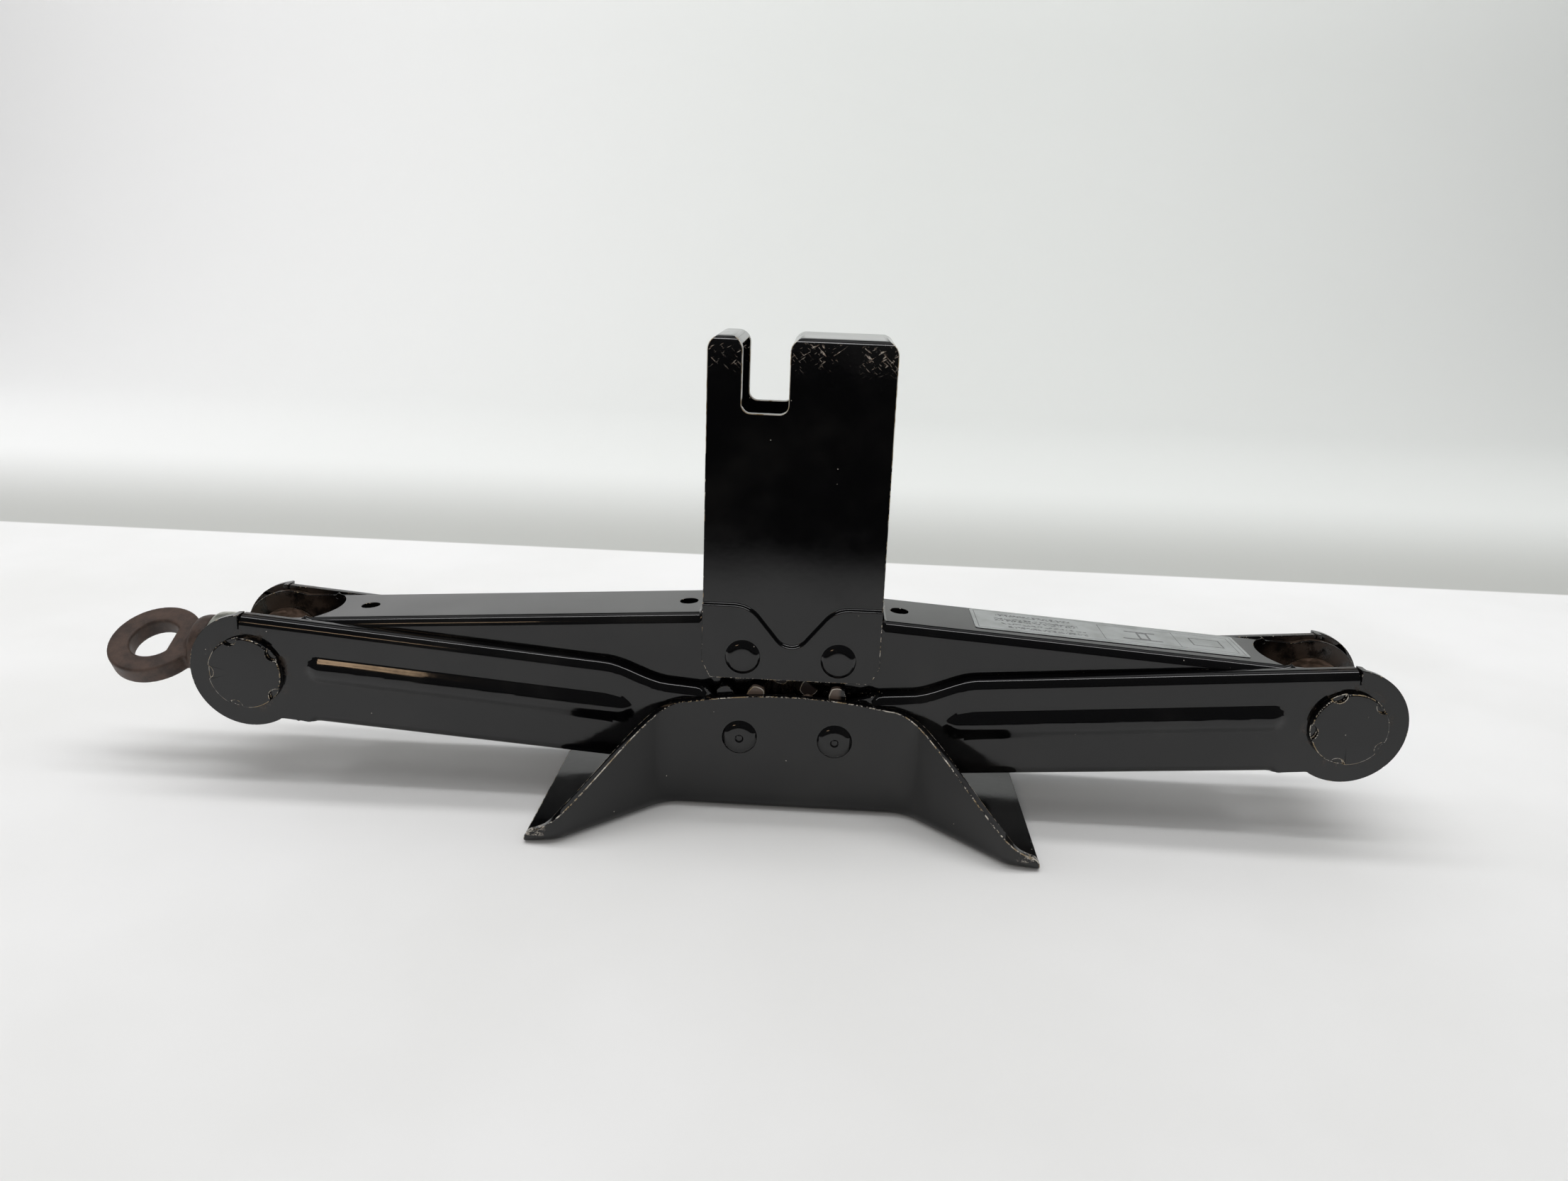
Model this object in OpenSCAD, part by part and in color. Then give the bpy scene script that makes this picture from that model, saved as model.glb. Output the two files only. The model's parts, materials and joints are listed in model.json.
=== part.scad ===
// Scissor car jack, folded. X runs along the drive screw, Y across the jack and Z up.
// The origin is on the ground, under the middle of the base.

/* [Linkage] */
// Distance between the two pivots of each arm
arm_len = 174.5; // [130:0.5:230]
// Pitch radius of the arm gears, half the distance between neighbouring pivots
gear_pitch_r = 16.5; // [16:0.5:22]
// Height of the base pivots above the ground
base_pivot_z = 27.5; // [25:0.5:40]

/* [Sheet steel] */
// Thickness of the arms' sheet
arm_sheet = 2.5; // [1.5:0.1:3.2]
// Thickness of the base's sheet
base_sheet = 2.7; // [1.8:0.1:4]
// Thickness of the saddle's sheet
saddle_sheet = 2.7; // [1.8:0.1:4]
// Clear width between the flanges of an upper arm
channel_w = 27.4; // [26:0.2:40]

/* [Arms] */
// Height of a lower arm's folded lip above its pivot line
lip_h = 20; // [18:0.5:24]
// Height of the same lip next to the gears
lip_low_h = 15; // [13:0.5:17]
// Depth of a lower arm below its pivot line, at the gear end
lower_depth_in = 15.3; // [13:0.1:18]
// Depth of a lower arm below its pivot line, at the trunnion end
lower_depth_out = 17.3; // [14:0.1:20]
// Radius of a lower arm's round end
lower_end_r = 20.5; // [18:0.5:26]
// Height of an upper arm's web above its pivot line, at the gear end
upper_depth_in = 14.2; // [13:0.1:18]
// Height of an upper arm's web above its pivot line, at the trunnion end
upper_depth_out = 16.9; // [14:0.1:20]
// Depth of an upper arm's flanges on the screw side of its pivot line
upper_inner_h = 12; // [8:0.5:14]
// Radius of an upper arm's round ears
upper_end_r = 18.7; // [17:0.1:22]
// Width of the stiffening bead along a lower arm
bead_w = 9.4; // [6:0.2:12]
// How far the bead stands out of the flange
bead_h = 1.6; // [0.6:0.1:2]
// Diameter of the tooling holes in an upper arm's web
web_hole_d = 6.5; // [4:0.5:9]

/* [Gears] */
// Teeth that a full circle would have
gear_teeth = 9; // [9:1:12]
// Height of a tooth above the pitch circle
tooth_addendum = 2.1; // [1.4:0.1:2.2]
// Play between meshing teeth, measured on the pitch circle
tooth_play = 0.4; // [0.3:0.05:0.8]

/* [Base] */
// Length of the base along the screw
base_len = 169; // [150:1:210]
// Width across the feet
foot_w = 114; // [90:1:150]
// Length of the straight middle part of the base's walls
base_mid_len = 82; // [70:1:90]
// Height of the base's walls above the base pivots
base_wall_over = 15.7; // [10:0.1:20]
// Height of the walls at the tips of the feet
foot_tip_h = 4; // [3.5:0.1:8]

/* [Saddle] */
// Height of the saddle above its pivots
saddle_h = 107.8; // [80:0.1:140]
// Length of the saddle along the screw
saddle_len = 61.4; // [58:0.2:76]
// How far the saddle reaches below its pivots
saddle_under = 8; // [7.5:0.5:12]
// Outer radius of the bend at the saddle's top
saddle_bend_r = 4.3; // [3:0.1:8]
// Distance that the lobes stand proud of the saddle's upper plate
joggle = 1.4; // [0.8:0.1:2]
// Width of the slot for the sill's flange
slot_w = 15.3; // [10:0.1:20]
// Depth of the slot
slot_depth = 24.5; // [12:0.1:40]
// Distance from the slot's centre to the saddle's centre, towards the eye
slot_offset = 11.6; // [6:0.1:14]
// Radius in the slot's lower corners
slot_corner_r = 3; // [1:0.5:5]
// Radius at the upper corners of the saddle and of the slot
saddle_corner_r = 4.5; // [1:0.5:5]

/* [Pivot pins] */
// Diameter of the four pivot pins
pin_d = 10; // [7:0.5:12]
// How far a pin's heads reach past its shank
pin_head_rim = 1.1; // [0.8:0.1:3]
// Thickness of a pin's heads
pin_head_h = 1.5; // [1:0.1:3]
// Width of the rim of the saddle's spacer washers
saddle_washer_rim = 3.3; // [2:0.1:4]

/* [Trunnions] */
// Diameter of a trunnion's barrel
barrel_d = 25; // [22:0.5:30]
// Diameter of a trunnion's journals
journal_d = 18; // [14:0.5:21]
// Diameter of a trunnion's staked heads
trunnion_head_d = 26; // [22:0.5:30]
// Thickness of the staked heads
trunnion_head_h = 2.7; // [1.5:0.1:4]
// Gap between an upper and a lower arm at the trunnions, which holds a washer
washer_gap = 3.2; // [2:0.1:4.5]
// Width of the rim of the trunnion washers
trunnion_washer_rim = 5; // [2:0.5:7]

/* [Drive screw] */
// Outer diameter of the screw
screw_d = 13; // [10:0.5:16]
// Length of screw beyond the nut trunnion when the jack is folded
screw_end_over = 18.5; // [17:0.5:30]
// Diameter of the stop pin at the screw's end
stop_pin_d = 3.2; // [2:0.2:5]
// Outer diameter of the eye
eye_d = 32.6; // [28:0.2:38]
// Diameter of the hole in the eye
eye_hole_d = 17.4; // [12:0.2:19]
// Thickness of the eye
eye_t = 7; // [4:0.1:9]
// Angle of the eye about the screw's axis, 0 when it stands upright
eye_turn = 62; // [0:1:180]
// Diameter of the collar behind the eye
collar_d = 24; // [20:0.5:28]
// Length of the collar
collar_len = 7; // [5:0.5:10]
// Length of the thrust bearing's shell
shell_len = 11; // [8:0.5:14]

/* [Label] */
// Length of the rating label
label_len = 96; // [60:1:100]
// Width of the rating label
label_w = 22; // [12:0.5:26]
// Distance of the label from the cut-out at the web's end
label_margin = 5.4; // [3:0.2:15]
// Distance from the label's centre to the middle of the web
label_shift = 1.2; // [-2:0.2:2]
// Thickness of the rating label
label_t = 0.3; // [0.2:0.05:0.5]

/* [Clearances] */
// Gap between neighbouring sheets that move past each other
sheet_gap = 0.3; // [0.2:0.05:0.6]
// Radial running fit of pins, journals and the screw
fit = 0.05; // [0.02:0.01:0.1]
// Least gap between the pivot pins and the screw when the jack is folded
pin_screw_gap = 2.5; // [1:0.1:5]
// Gap between the saddle's lobes and the lower gears when the jack is folded
lobe_gap = 1.4; // [0.5:0.1:4]
// Radial clearance where the linkage closes and where the screw passes the nut
loose = 0.35; // [0.2:0.05:0.8]
// Gap on each side of a washer
washer_play = 0.1; // [0.05:0.05:0.3]

/* [Hidden] */
$fn = 64;

// Gears
tip_r = gear_pitch_r + tooth_addendum;
root_r = gear_pitch_r - tooth_addendum - 0.7;
pressure_angle = 25;
gear_base_r = gear_pitch_r * cos(pressure_angle);
tooth_step = 360 / gear_teeth;
play_angle = tooth_play / 4 / gear_pitch_r * 180 / PI;
left_tooth_phase = -9;
right_tooth_phase = left_tooth_phase + tooth_step / 2;

// Heights and places of the linkage, folded until the screw or the saddle comes close to what is below
arm_rise = max((pin_d + screw_d) / 2 + pin_screw_gap, (tip_r + lobe_gap + saddle_under) / 2);
fold_angle = asin(arm_rise / arm_len);
arm_run = arm_len * cos(fold_angle);
screw_z = base_pivot_z + arm_rise;
saddle_pivot_z = base_pivot_z + 2 * arm_rise;
trunnion_x = gear_pitch_r + arm_run;

// Layers across the jack, each as a distance from the middle plane
upper_in = channel_w / 2;
upper_out = upper_in + arm_sheet;
lip_in = upper_out + sheet_gap;
lower_in = upper_out + washer_gap;
lower_out = lower_in + arm_sheet;
base_in = lower_out + sheet_gap;
base_out = base_in + base_sheet;
saddle_in = upper_out + sheet_gap;
saddle_out = saddle_in + saddle_sheet;
lobe_in = saddle_in + joggle;
lobe_out = lobe_in + saddle_sheet;
reach = 4 * base_out;

// Places along an arm, measured from its gear pivot
lip_start = 14;
lip_past = 2.8;
ramp_start = 27;
ramp_end = 50;
arm_end_gap = max(lower_end_r, barrel_d / 2) + 1.4;
bead_start = 38;
bead_end = arm_len - lower_end_r;
bead_v = 3.6;
web_start = 20;
web_hole_us = [20, arm_len - 38];
web_cut_r = 22;
web_cut_depth = 5;
web_end = arm_len - arm_end_gap;
lower_web_end = arm_len - lower_end_r - 4;
label_u = web_end - web_cut_depth - label_margin - label_len;

// Screw and thrust bearing
barrel_flat = barrel_d / 2 - 1.5;
shell_face_x = -trunnion_x - barrel_flat;
collar_face_x = shell_face_x - shell_len - washer_play;
eye_x = collar_face_x - collar_len - eye_d / 2 + 0.4;
screw_end_x = trunnion_x + screw_end_over;
stop_pin_x = screw_end_x - stop_pin_d - 0.8;
stop_pin_len = screw_d + 4;
shell_wall = 1.5;
shell_r = upper_in - sheet_gap;

// Saddle, with heights measured from its pivots
half_saddle = saddle_len / 2;
lobe_top = 19.6;
lobe_r = 9;
lobe_x = gear_pitch_r + 2;
tongue_r = 6.7;
tongue_v = 10.9;
tongue_angle = 35;
saddle_chamfer = 6;
lap = 1.2;

// Base walls
half_base = base_len / 2;
half_foot = foot_w / 2;
half_mid = base_mid_len / 2;
dome_end = 34;
dome_rate = 0.0029;
wall_top = base_pivot_z + base_wall_over;
foot_straight = 10.5;

// Points of an arc about c, from angle a0 to a1
function arc(c, r, a0, a1, n = 10) =
    [for (i = [0:n]) c + r * [cos(a0 + (a1 - a0) * i / n), sin(a0 + (a1 - a0) * i / n)]];

// Points mirrored in the vertical axis, in reverse order
function mirrored(points) = [for (i = [len(points) - 1:-1:0]) [-points[i][0], points[i][1]]];

// Smooth step from 0 to 1
function ease(t) = let (k = min(1, max(0, t))) k * k * (3 - 2 * k);

// Involute function of an angle, in degrees
function involute(a) = tan(a) * 180 / PI - a;

// Half the angle that a tooth fills at radius r
function tooth_half(r) =
    90 / gear_teeth - play_angle + involute(pressure_angle)
    - (r > gear_base_r ? involute(acos(gear_base_r / r)) : 0);

// Depth of an arm's outer edge at distance u from its gear pivot
function edge_depth(u, d_in, d_out) = d_in + (d_out - d_in) * u / arm_len;

// Height of the base's wall at distance x from the middle
function wall_height(x) =
    let (dome = wall_top - dome_rate * pow(min(abs(x), dome_end), 2))
    dome - (dome - foot_tip_h) * ease((abs(x) - dome_end) / (half_base + 1.5 - dome_end));

// A shape drawn in X and Z, given a thickness from y0 to y1
module plate(y0, y1) {
    translate([0, y1, 0])
        rotate([90, 0, 0])
            linear_extrude(y1 - y0)
                children();
}

// The same plate on both sides of the jack
module both_sides(y0, y1) {
    plate(y0, y1) children();
    mirror([0, 1, 0]) plate(y0, y1) children();
}

// A round bar or bore across the jack
module cross_rod(r, y0, y1) {
    translate([0, y1, 0])
        rotate([90, 0, 0])
            cylinder(r = r, h = y1 - y0);
}

// Puts a lower arm's own frame in place: X along the arm, Z towards the screw
module at_lower(side) {
    scale_x = side < 0 ? [1, 0, 0] : [0, 0, 0];
    mirror(scale_x)
        translate([gear_pitch_r, 0, base_pivot_z])
            rotate([0, -fold_angle, 0])
                children();
}

// Puts an upper arm's own frame in place: X along the arm, Z towards the screw
module at_upper(side) {
    scale_x = side < 0 ? [1, 0, 0] : [0, 0, 0];
    mirror(scale_x)
        translate([gear_pitch_r, 0, saddle_pivot_z])
            rotate([0, fold_angle, 0])
                mirror([0, 0, 1])
                    children();
}

// One gear tooth, pointing along X
module tooth() {
    steps = 6;
    rs = [for (i = [0:steps]) gear_base_r + (tip_r - gear_base_r) * i / steps];
    half = [for (r = rs) r * [cos(tooth_half(r)), sin(tooth_half(r))]];
    foot = (root_r - 1) * [cos(tooth_half(0)), sin(tooth_half(0))];
    flank = concat([foot], half);
    polygon(concat(flank, [for (i = [len(flank) - 1:-1:0]) [flank[i][0], -flank[i][1]]]));
}

// The toothed end of an arm's flange
module gear_end(phase, teeth) {
    circle(r = root_r);
    for (k = [-1:teeth - 2])
        rotate(180 - fold_angle - phase - k * tooth_step)
            tooth();
}

module gear_for(side) {
    if (side < 0) gear_end(left_tooth_phase, 5);
    else gear_end(right_tooth_phase, 4);
}

// Lower arm: side view of a flange
module lower_side(side) {
    gear_for(side);
    translate([arm_len, 0]) circle(r = lower_end_r);
    polygon(concat(
        [[0, -root_r + 0.5], [0, root_r - 0.5], [lip_start, lip_low_h], [ramp_start, lip_low_h]],
        lip_ramp(),
        [[arm_len + lip_past, lip_h], [arm_len, -edge_depth(arm_len, lower_depth_in, lower_depth_out)],
            [web_start, -edge_depth(web_start, lower_depth_in, lower_depth_out)]]));
}

// The lip's climb from the gears to its full height
function lip_ramp(drop = 0) =
    [for (i = [1:8]) [ramp_start + (ramp_end - ramp_start) * i / 8,
        lip_low_h + (lip_h - lip_low_h) * ease(i / 8) - drop]];

// Lower arm: side view of the lip that is turned in along its top edge
module lower_lip() {
    top = concat([[lip_start + 2, lip_low_h], [ramp_start, lip_low_h]], lip_ramp(),
        [[arm_len + lip_past, lip_h]]);
    under = [for (i = [len(top) - 1:-1:0]) top[i] - [0, arm_sheet]];
    polygon(concat(top, under));
}

// A band along an arm's outer edge, as thick as its sheet
module web_band(d_in, d_out, u0, u1) {
    polygon([[u0, -edge_depth(u0, d_in, d_out)], [u1, -edge_depth(u1, d_in, d_out)],
        [u1, arm_sheet - edge_depth(u1, d_in, d_out)], [u0, arm_sheet - edge_depth(u0, d_in, d_out)]]);
}

module bead_side() {
    r = bead_w / 2;
    polygon(concat(arc([bead_start + r, bead_v], r, 90, 270, 12),
        arc([bead_end - r, bead_v], r, -90, 90, 12)));
}

module lower_arm(side) {
    color("#18181a")
        at_lower(side)
            difference() {
                union() {
                    both_sides(lower_in, lower_out) lower_side(side);
                    both_sides(lip_in, lower_in + 0.5) lower_lip();
                    plate(-lower_in - 0.5, lower_in + 0.5)
                        web_band(lower_depth_in, lower_depth_out, web_start + 6, lower_web_end);
                    both_sides(lower_out - 0.5, lower_out + bead_h) bead_side();
                }
                cross_rod(pin_d / 2 + fit, -reach, reach);
                translate([arm_len, 0, 0]) cross_rod(journal_d / 2 + fit, -reach, reach);
            }
}

// Upper arm: side view of a flange
module upper_side(side) {
    gear_for(side);
    translate([arm_len, 0]) circle(r = upper_end_r);
    polygon([[0, -root_r + 0.5], [lip_start, -edge_depth(lip_start, upper_depth_in, upper_depth_out)],
        [arm_len - 8, -edge_depth(arm_len, upper_depth_in, upper_depth_out)],
        [arm_len, upper_inner_h], [0, upper_inner_h]]);
}

module upper_arm(side, pin_play) {
    color("#18181a")
        at_upper(side)
            difference() {
                union() {
                    both_sides(upper_in, upper_out) upper_side(side);
                    difference() {
                        plate(-upper_in - 0.5, upper_in + 0.5)
                            web_band(upper_depth_in, upper_depth_out, lip_start, web_end);
                        translate([web_end - web_cut_depth + web_cut_r, 0, -reach])
                            cylinder(r = web_cut_r, h = reach);
                    }
                }
                cross_rod(pin_d / 2 + pin_play, -reach, reach);
                translate([arm_len, 0, 0]) cross_rod(journal_d / 2 + fit, -reach, reach);
                for (u = web_hole_us)
                    translate([u, 0, -reach]) cylinder(d = web_hole_d, h = reach);
            }
}

module rating_label() {
    tilt = atan((upper_depth_out - upper_depth_in) / arm_len);
    color("silver")
        at_upper(1)
            translate([label_u, 0, -edge_depth(label_u, upper_depth_in, upper_depth_out)])
                rotate([0, tilt, 0])
                    translate([0, label_shift - label_w / 2, -label_t])
                        cube([label_len, label_w, label_t]);
}

// Saddle: side view of the plate above the joggle, or of the lobes below it
function joggle_line(extra) =
    let (half = concat([[half_saddle, lobe_top + extra]],
            arc([lobe_x, lobe_top - lobe_r], lobe_r + extra, 90, 180 - tongue_angle, 6),
            arc([0, tongue_v], tongue_r - extra, -tongue_angle, -90, 6)))
    concat(half, [for (i = [len(half) - 2:-1:0]) [-half[i][0], half[i][1]]]);

module saddle_plate_side() {
    r = saddle_corner_r;
    polygon(concat(arc([r - half_saddle, saddle_h - r], r, 180, 90, 6),
        arc([half_saddle - r, saddle_h - r], r, 90, 0, 6), joggle_line(-lap)));
}

module saddle_lobe_side() {
    c = saddle_chamfer;
    polygon(concat([[-half_saddle, c - saddle_under], [-half_saddle + c / 2, -saddle_under],
        [half_saddle - c / 2, -saddle_under], [half_saddle, c - saddle_under]], joggle_line(0)));
}

module slot_side() {
    x0 = -slot_offset - slot_w / 2;
    x1 = -slot_offset + slot_w / 2;
    z0 = saddle_h - slot_depth;
    r = slot_corner_r;
    c = saddle_corner_r;
    polygon(concat(arc([x0 + r, z0 + r], r, 180, 270, 6), arc([x1 - r, z0 + r], r, 270, 360, 6),
        arc([x1 + c, saddle_h - c], c, 180, 90, 6), [[x1 + c, saddle_h + 1], [x0 - c, saddle_h + 1]],
        arc([x0 - c, saddle_h - c], c, 90, 0, 6)));
}

// Cross-section of the saddle's upper part, in Y and Z
module saddle_section() {
    r = saddle_bend_r;
    ri = r - saddle_sheet;
    outer = concat(arc([saddle_out - r, saddle_h - r], r, 0, 90, 8),
        arc([-saddle_out + r, saddle_h - r], r, 90, 180, 8));
    inner = concat(arc([-saddle_out + r, saddle_h - r], ri, 180, 90, 8),
        arc([saddle_out - r, saddle_h - r], ri, 90, 0, 8));
    polygon(concat(outer, [[-saddle_out, 0], [-saddle_in, 0]], inner, [[saddle_in, 0], [saddle_out, 0]]));
}

module saddle() {
    color("#141416")
        translate([0, 0, saddle_pivot_z])
            difference() {
                union() {
                    intersection() {
                        rotate([90, 0, 90])
                            translate([0, 0, -half_saddle])
                                linear_extrude(saddle_len)
                                    saddle_section();
                        plate(-reach, reach) saddle_plate_side();
                    }
                    both_sides(lobe_in, lobe_out) saddle_lobe_side();
                }
                plate(-reach, reach) slot_side();
                for (x = [-gear_pitch_r, gear_pitch_r])
                    translate([x, 0, 0]) cross_rod(pin_d / 2 + fit, -reach, reach);
            }
}

// Plan of the base's outer edge on one side, from the middle to a foot's tip
function wall_plan(inset) =
    let (slope_end = half_base - foot_straight, drop = inset * 0.4)
    [[half_mid - drop, base_out - inset], [slope_end - drop, half_foot - inset],
        [half_base, half_foot - inset]];

module base_plan(inset) {
    side = wall_plan(inset);
    back = mirrored(side);
    upper = concat(back, side);
    polygon(concat(upper, [for (i = [len(upper) - 1:-1:0]) [upper[i][0], -upper[i][1]]]));
}

module wall_profile() {
    steps = 40;
    polygon(concat([[-half_base, 0], [half_base, 0]],
        [for (i = [steps:-1:0]) let (x = -half_base + base_len * i / steps) [x, wall_height(x)]]));
}

module base() {
    color("#1c1c1e")
        difference() {
            union() {
                linear_extrude(base_sheet) base_plan(0);
                intersection() {
                    linear_extrude(wall_top + 1)
                        difference() {
                            base_plan(0);
                            base_plan(base_sheet);
                            for (s = [-1, 1])
                                translate([s * half_base, 0])
                                    square([2, 2 * (half_foot - base_sheet)], center = true);
                        }
                    plate(-reach, reach) wall_profile();
                }
            }
            for (x = [-gear_pitch_r, gear_pitch_r])
                translate([x, 0, base_pivot_z]) cross_rod(pin_d / 2 + fit, -reach, reach);
        }
}

// A pivot pin with a formed head outside each plate
module pivot_pin(x, z, face) {
    color("#111113")
        translate([x, 0, z]) {
            cross_rod(pin_d / 2, -face - 0.5, face + 0.5);
            cross_rod(pin_d / 2 + pin_head_rim, face, face + pin_head_h);
            mirror([0, 1, 0]) cross_rod(pin_d / 2 + pin_head_rim, face, face + pin_head_h);
        }
}

// A pair of washers on rod_r, one in the gap on each side of the jack
module washers(x, z, y0, y1, rod_r, rim) {
    color("dimgray")
        translate([x, 0, z])
            for (s = [0, 1])
                mirror([0, s, 0])
                    difference() {
                        cross_rod(rod_r + rim, y0 + washer_play, y1 - washer_play);
                        cross_rod(rod_r + fit, y0 - 1, y1 + 1);
                    }
}

// Barrel, journals and staked heads of a trunnion, without its bore
module trunnion_solid() {
    barrel_half = upper_in - washer_play;
    head_face = lower_out + washer_play;
    cross_rod(barrel_d / 2, -barrel_half, barrel_half);
    cross_rod(journal_d / 2, -head_face - 0.5, head_face + 0.5);
    for (s = [0, 1])
        mirror([0, s, 0])
            difference() {
                cross_rod(trunnion_head_d / 2, head_face, head_face + trunnion_head_h);
                for (a = [0:72:359])
                    rotate([0, a, 0])
                        translate([trunnion_head_d / 2 + 0.6, 0, 0])
                            cross_rod(2.4, head_face + trunnion_head_h / 2, head_face + trunnion_head_h + 1);
            }
}

module screw_bore(r) {
    rotate([0, 90, 0]) cylinder(r = r, h = 4 * barrel_d, center = true);
}

module bearing_trunnion() {
    color("#4a3a30")
        translate([-trunnion_x, 0, screw_z])
            difference() {
                trunnion_solid();
                screw_bore(screw_d / 2 + fit);
                translate([-barrel_flat - barrel_d, -upper_in, -barrel_d])
                    cube([barrel_d, channel_w, 2 * barrel_d]);
            }
}

module nut_trunnion() {
    color("#4a3a30")
        translate([trunnion_x, 0, screw_z])
            difference() {
                trunnion_solid();
                screw_bore(screw_d / 2 + loose);
            }
}

module drive_screw() {
    color("#3a2e2a")
        difference() {
            translate([collar_face_x, 0, screw_z])
                rotate([0, 90, 0])
                    cylinder(d = screw_d, h = screw_end_x - collar_face_x);
            translate([stop_pin_x, 0, screw_z])
                cylinder(d = stop_pin_d, h = 2 * screw_d, center = true);
        }
}

// The ring's cross-section: a flat bar with rounded corners
module ring_section() {
    r = 1;
    x0 = eye_hole_d / 2;
    x1 = eye_d / 2;
    y1 = eye_t / 2;
    polygon(concat(arc([x0 + r, y1 - r], r, 90, 180, 4), arc([x0 + r, r - y1], r, 180, 270, 4),
        arc([x1 - r, r - y1], r, 270, 360, 4), arc([x1 - r, y1 - r], r, 0, 90, 4)));
}

module screw_eye() {
    neck_r = eye_t / 2 + 2.4;
    color("#3b2f2b")
        union() {
            translate([eye_x, 0, screw_z])
                rotate([90 - eye_turn, 0, 0])
                    rotate_extrude() ring_section();
            translate([collar_face_x - collar_len, 0, screw_z])
                rotate([0, 90, 0])
                    rotate_extrude()
                        polygon(concat([[0, -4]], [[neck_r, -4], [neck_r + 0.8, -1], [neck_r + 3, 0]],
                            arc([collar_d / 2 - 2, 2.4], 2, -90, 0, 5),
                            [[collar_d / 2, collar_len], [0, collar_len]]));
        }
}

// Thrust bearing: a pressed shell that holds a ring between the collar and the trunnion
module thrust_shell() {
    color("#b9b8ae")
        translate([shell_face_x - shell_len, 0, screw_z])
            rotate([0, 90, 0])
                difference() {
                    cylinder(r = shell_r, h = shell_len);
                    translate([0, 0, -1]) cylinder(r = screw_d / 2 + loose, h = shell_len + 2);
                    translate([0, 0, shell_wall])
                        cylinder(r = shell_r - shell_wall, h = shell_len - 2 * shell_wall);
                }
}

module thrust_ring() {
    color("#8c7a4a")
        translate([shell_face_x - shell_len + shell_wall, 0, screw_z])
            rotate([0, 90, 0])
                difference() {
                    cylinder(r = shell_r - shell_wall, h = shell_len - 2 * shell_wall);
                    translate([0, 0, -1]) cylinder(r = screw_d / 2 + loose, h = shell_len + 2);
                }
}

module screw_stop_pin() {
    color("#6e6a64")
        translate([stop_pin_x, 0, screw_z])
            cylinder(d = stop_pin_d, h = stop_pin_len, center = true);
}

base();
pivot_pin(-gear_pitch_r, base_pivot_z, base_out);  // left_base_pin
pivot_pin(gear_pitch_r, base_pivot_z, base_out);  // right_base_pin
lower_arm(-1);  // left_lower_arm
lower_arm(1);  // right_lower_arm
upper_arm(-1, fit);  // left_upper_arm
upper_arm(1, loose);  // right_upper_arm
rating_label();
saddle();
pivot_pin(-gear_pitch_r, saddle_pivot_z, lobe_out);  // left_saddle_pin
pivot_pin(gear_pitch_r, saddle_pivot_z, lobe_out);  // right_saddle_pin
washers(-gear_pitch_r, saddle_pivot_z, upper_out, lobe_in, pin_d / 2, saddle_washer_rim);  // left_saddle_washers
washers(gear_pitch_r, saddle_pivot_z, upper_out, lobe_in, pin_d / 2, saddle_washer_rim);  // right_saddle_washers
bearing_trunnion();
nut_trunnion();
washers(-trunnion_x, screw_z, upper_out, lower_in, journal_d / 2, trunnion_washer_rim);  // left_trunnion_washers
washers(trunnion_x, screw_z, upper_out, lower_in, journal_d / 2, trunnion_washer_rim);  // right_trunnion_washers
drive_screw();
screw_eye();
thrust_shell();
thrust_ring();
screw_stop_pin();
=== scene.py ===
"""Scissor car jack, folded: the looks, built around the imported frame.

Pieces are modelled in millimetres and settled into the frame, in metres.
Sheet parts are pressed from a flat blank, then sheared and pierced, as the real ones are.
"""

import json
import math

import bpy
from mathutils import Matrix, Vector
from mathutils.bvhtree import BVHTree


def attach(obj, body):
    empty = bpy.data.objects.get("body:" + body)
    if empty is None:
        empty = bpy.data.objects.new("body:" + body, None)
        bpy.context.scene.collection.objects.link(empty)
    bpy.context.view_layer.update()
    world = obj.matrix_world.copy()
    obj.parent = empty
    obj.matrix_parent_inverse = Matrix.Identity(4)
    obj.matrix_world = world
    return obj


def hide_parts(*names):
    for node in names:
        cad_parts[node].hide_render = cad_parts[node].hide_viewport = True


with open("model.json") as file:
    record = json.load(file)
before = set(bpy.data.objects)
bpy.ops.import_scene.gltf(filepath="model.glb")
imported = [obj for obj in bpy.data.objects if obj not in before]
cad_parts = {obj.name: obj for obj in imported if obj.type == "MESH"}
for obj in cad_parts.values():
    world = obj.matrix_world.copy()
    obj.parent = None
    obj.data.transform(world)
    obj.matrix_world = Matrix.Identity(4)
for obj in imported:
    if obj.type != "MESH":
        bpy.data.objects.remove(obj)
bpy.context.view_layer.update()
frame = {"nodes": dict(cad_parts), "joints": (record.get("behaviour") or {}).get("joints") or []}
bpy.ops.object.select_all(action="DESELECT")

# Pivots of the linkage, in millimetres
PIVOT = {joint["name"]: Vector(joint["pos_m"]) * 1000 for joint in frame["joints"]}
GEAR_R = PIVOT["right_lower_turn"].x
BASE_PIVOT_Z = PIVOT["right_lower_turn"].z
SADDLE_PIVOT_Z = PIVOT["saddle_level"].z
SCREW_Z = PIVOT["nut_level"].z
TRUNNION_X = PIVOT["nut_level"].x
ARM_LEN = math.hypot(TRUNNION_X - GEAR_R, SCREW_Z - BASE_PIVOT_Z)
FOLD = math.atan2(SCREW_Z - BASE_PIVOT_Z, TRUNNION_X - GEAR_R)

# Layers across the jack, each a distance from its middle plane
UPPER_OUT = 16.2
UPPER_IN = 13.7
LIP_IN = 16.5
LOWER_IN = 19.4
LOWER_OUT = 21.9
BASE_OUT = 24.9
SADDLE_OUT = 19.2
JOGGLE = 1.4
LOBE_IN = 17.9
LOBE_OUT = 20.6
ARM_SHEET = 2.5
BASE_SHEET = 2.7
SADDLE_SHEET = 2.7

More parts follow.
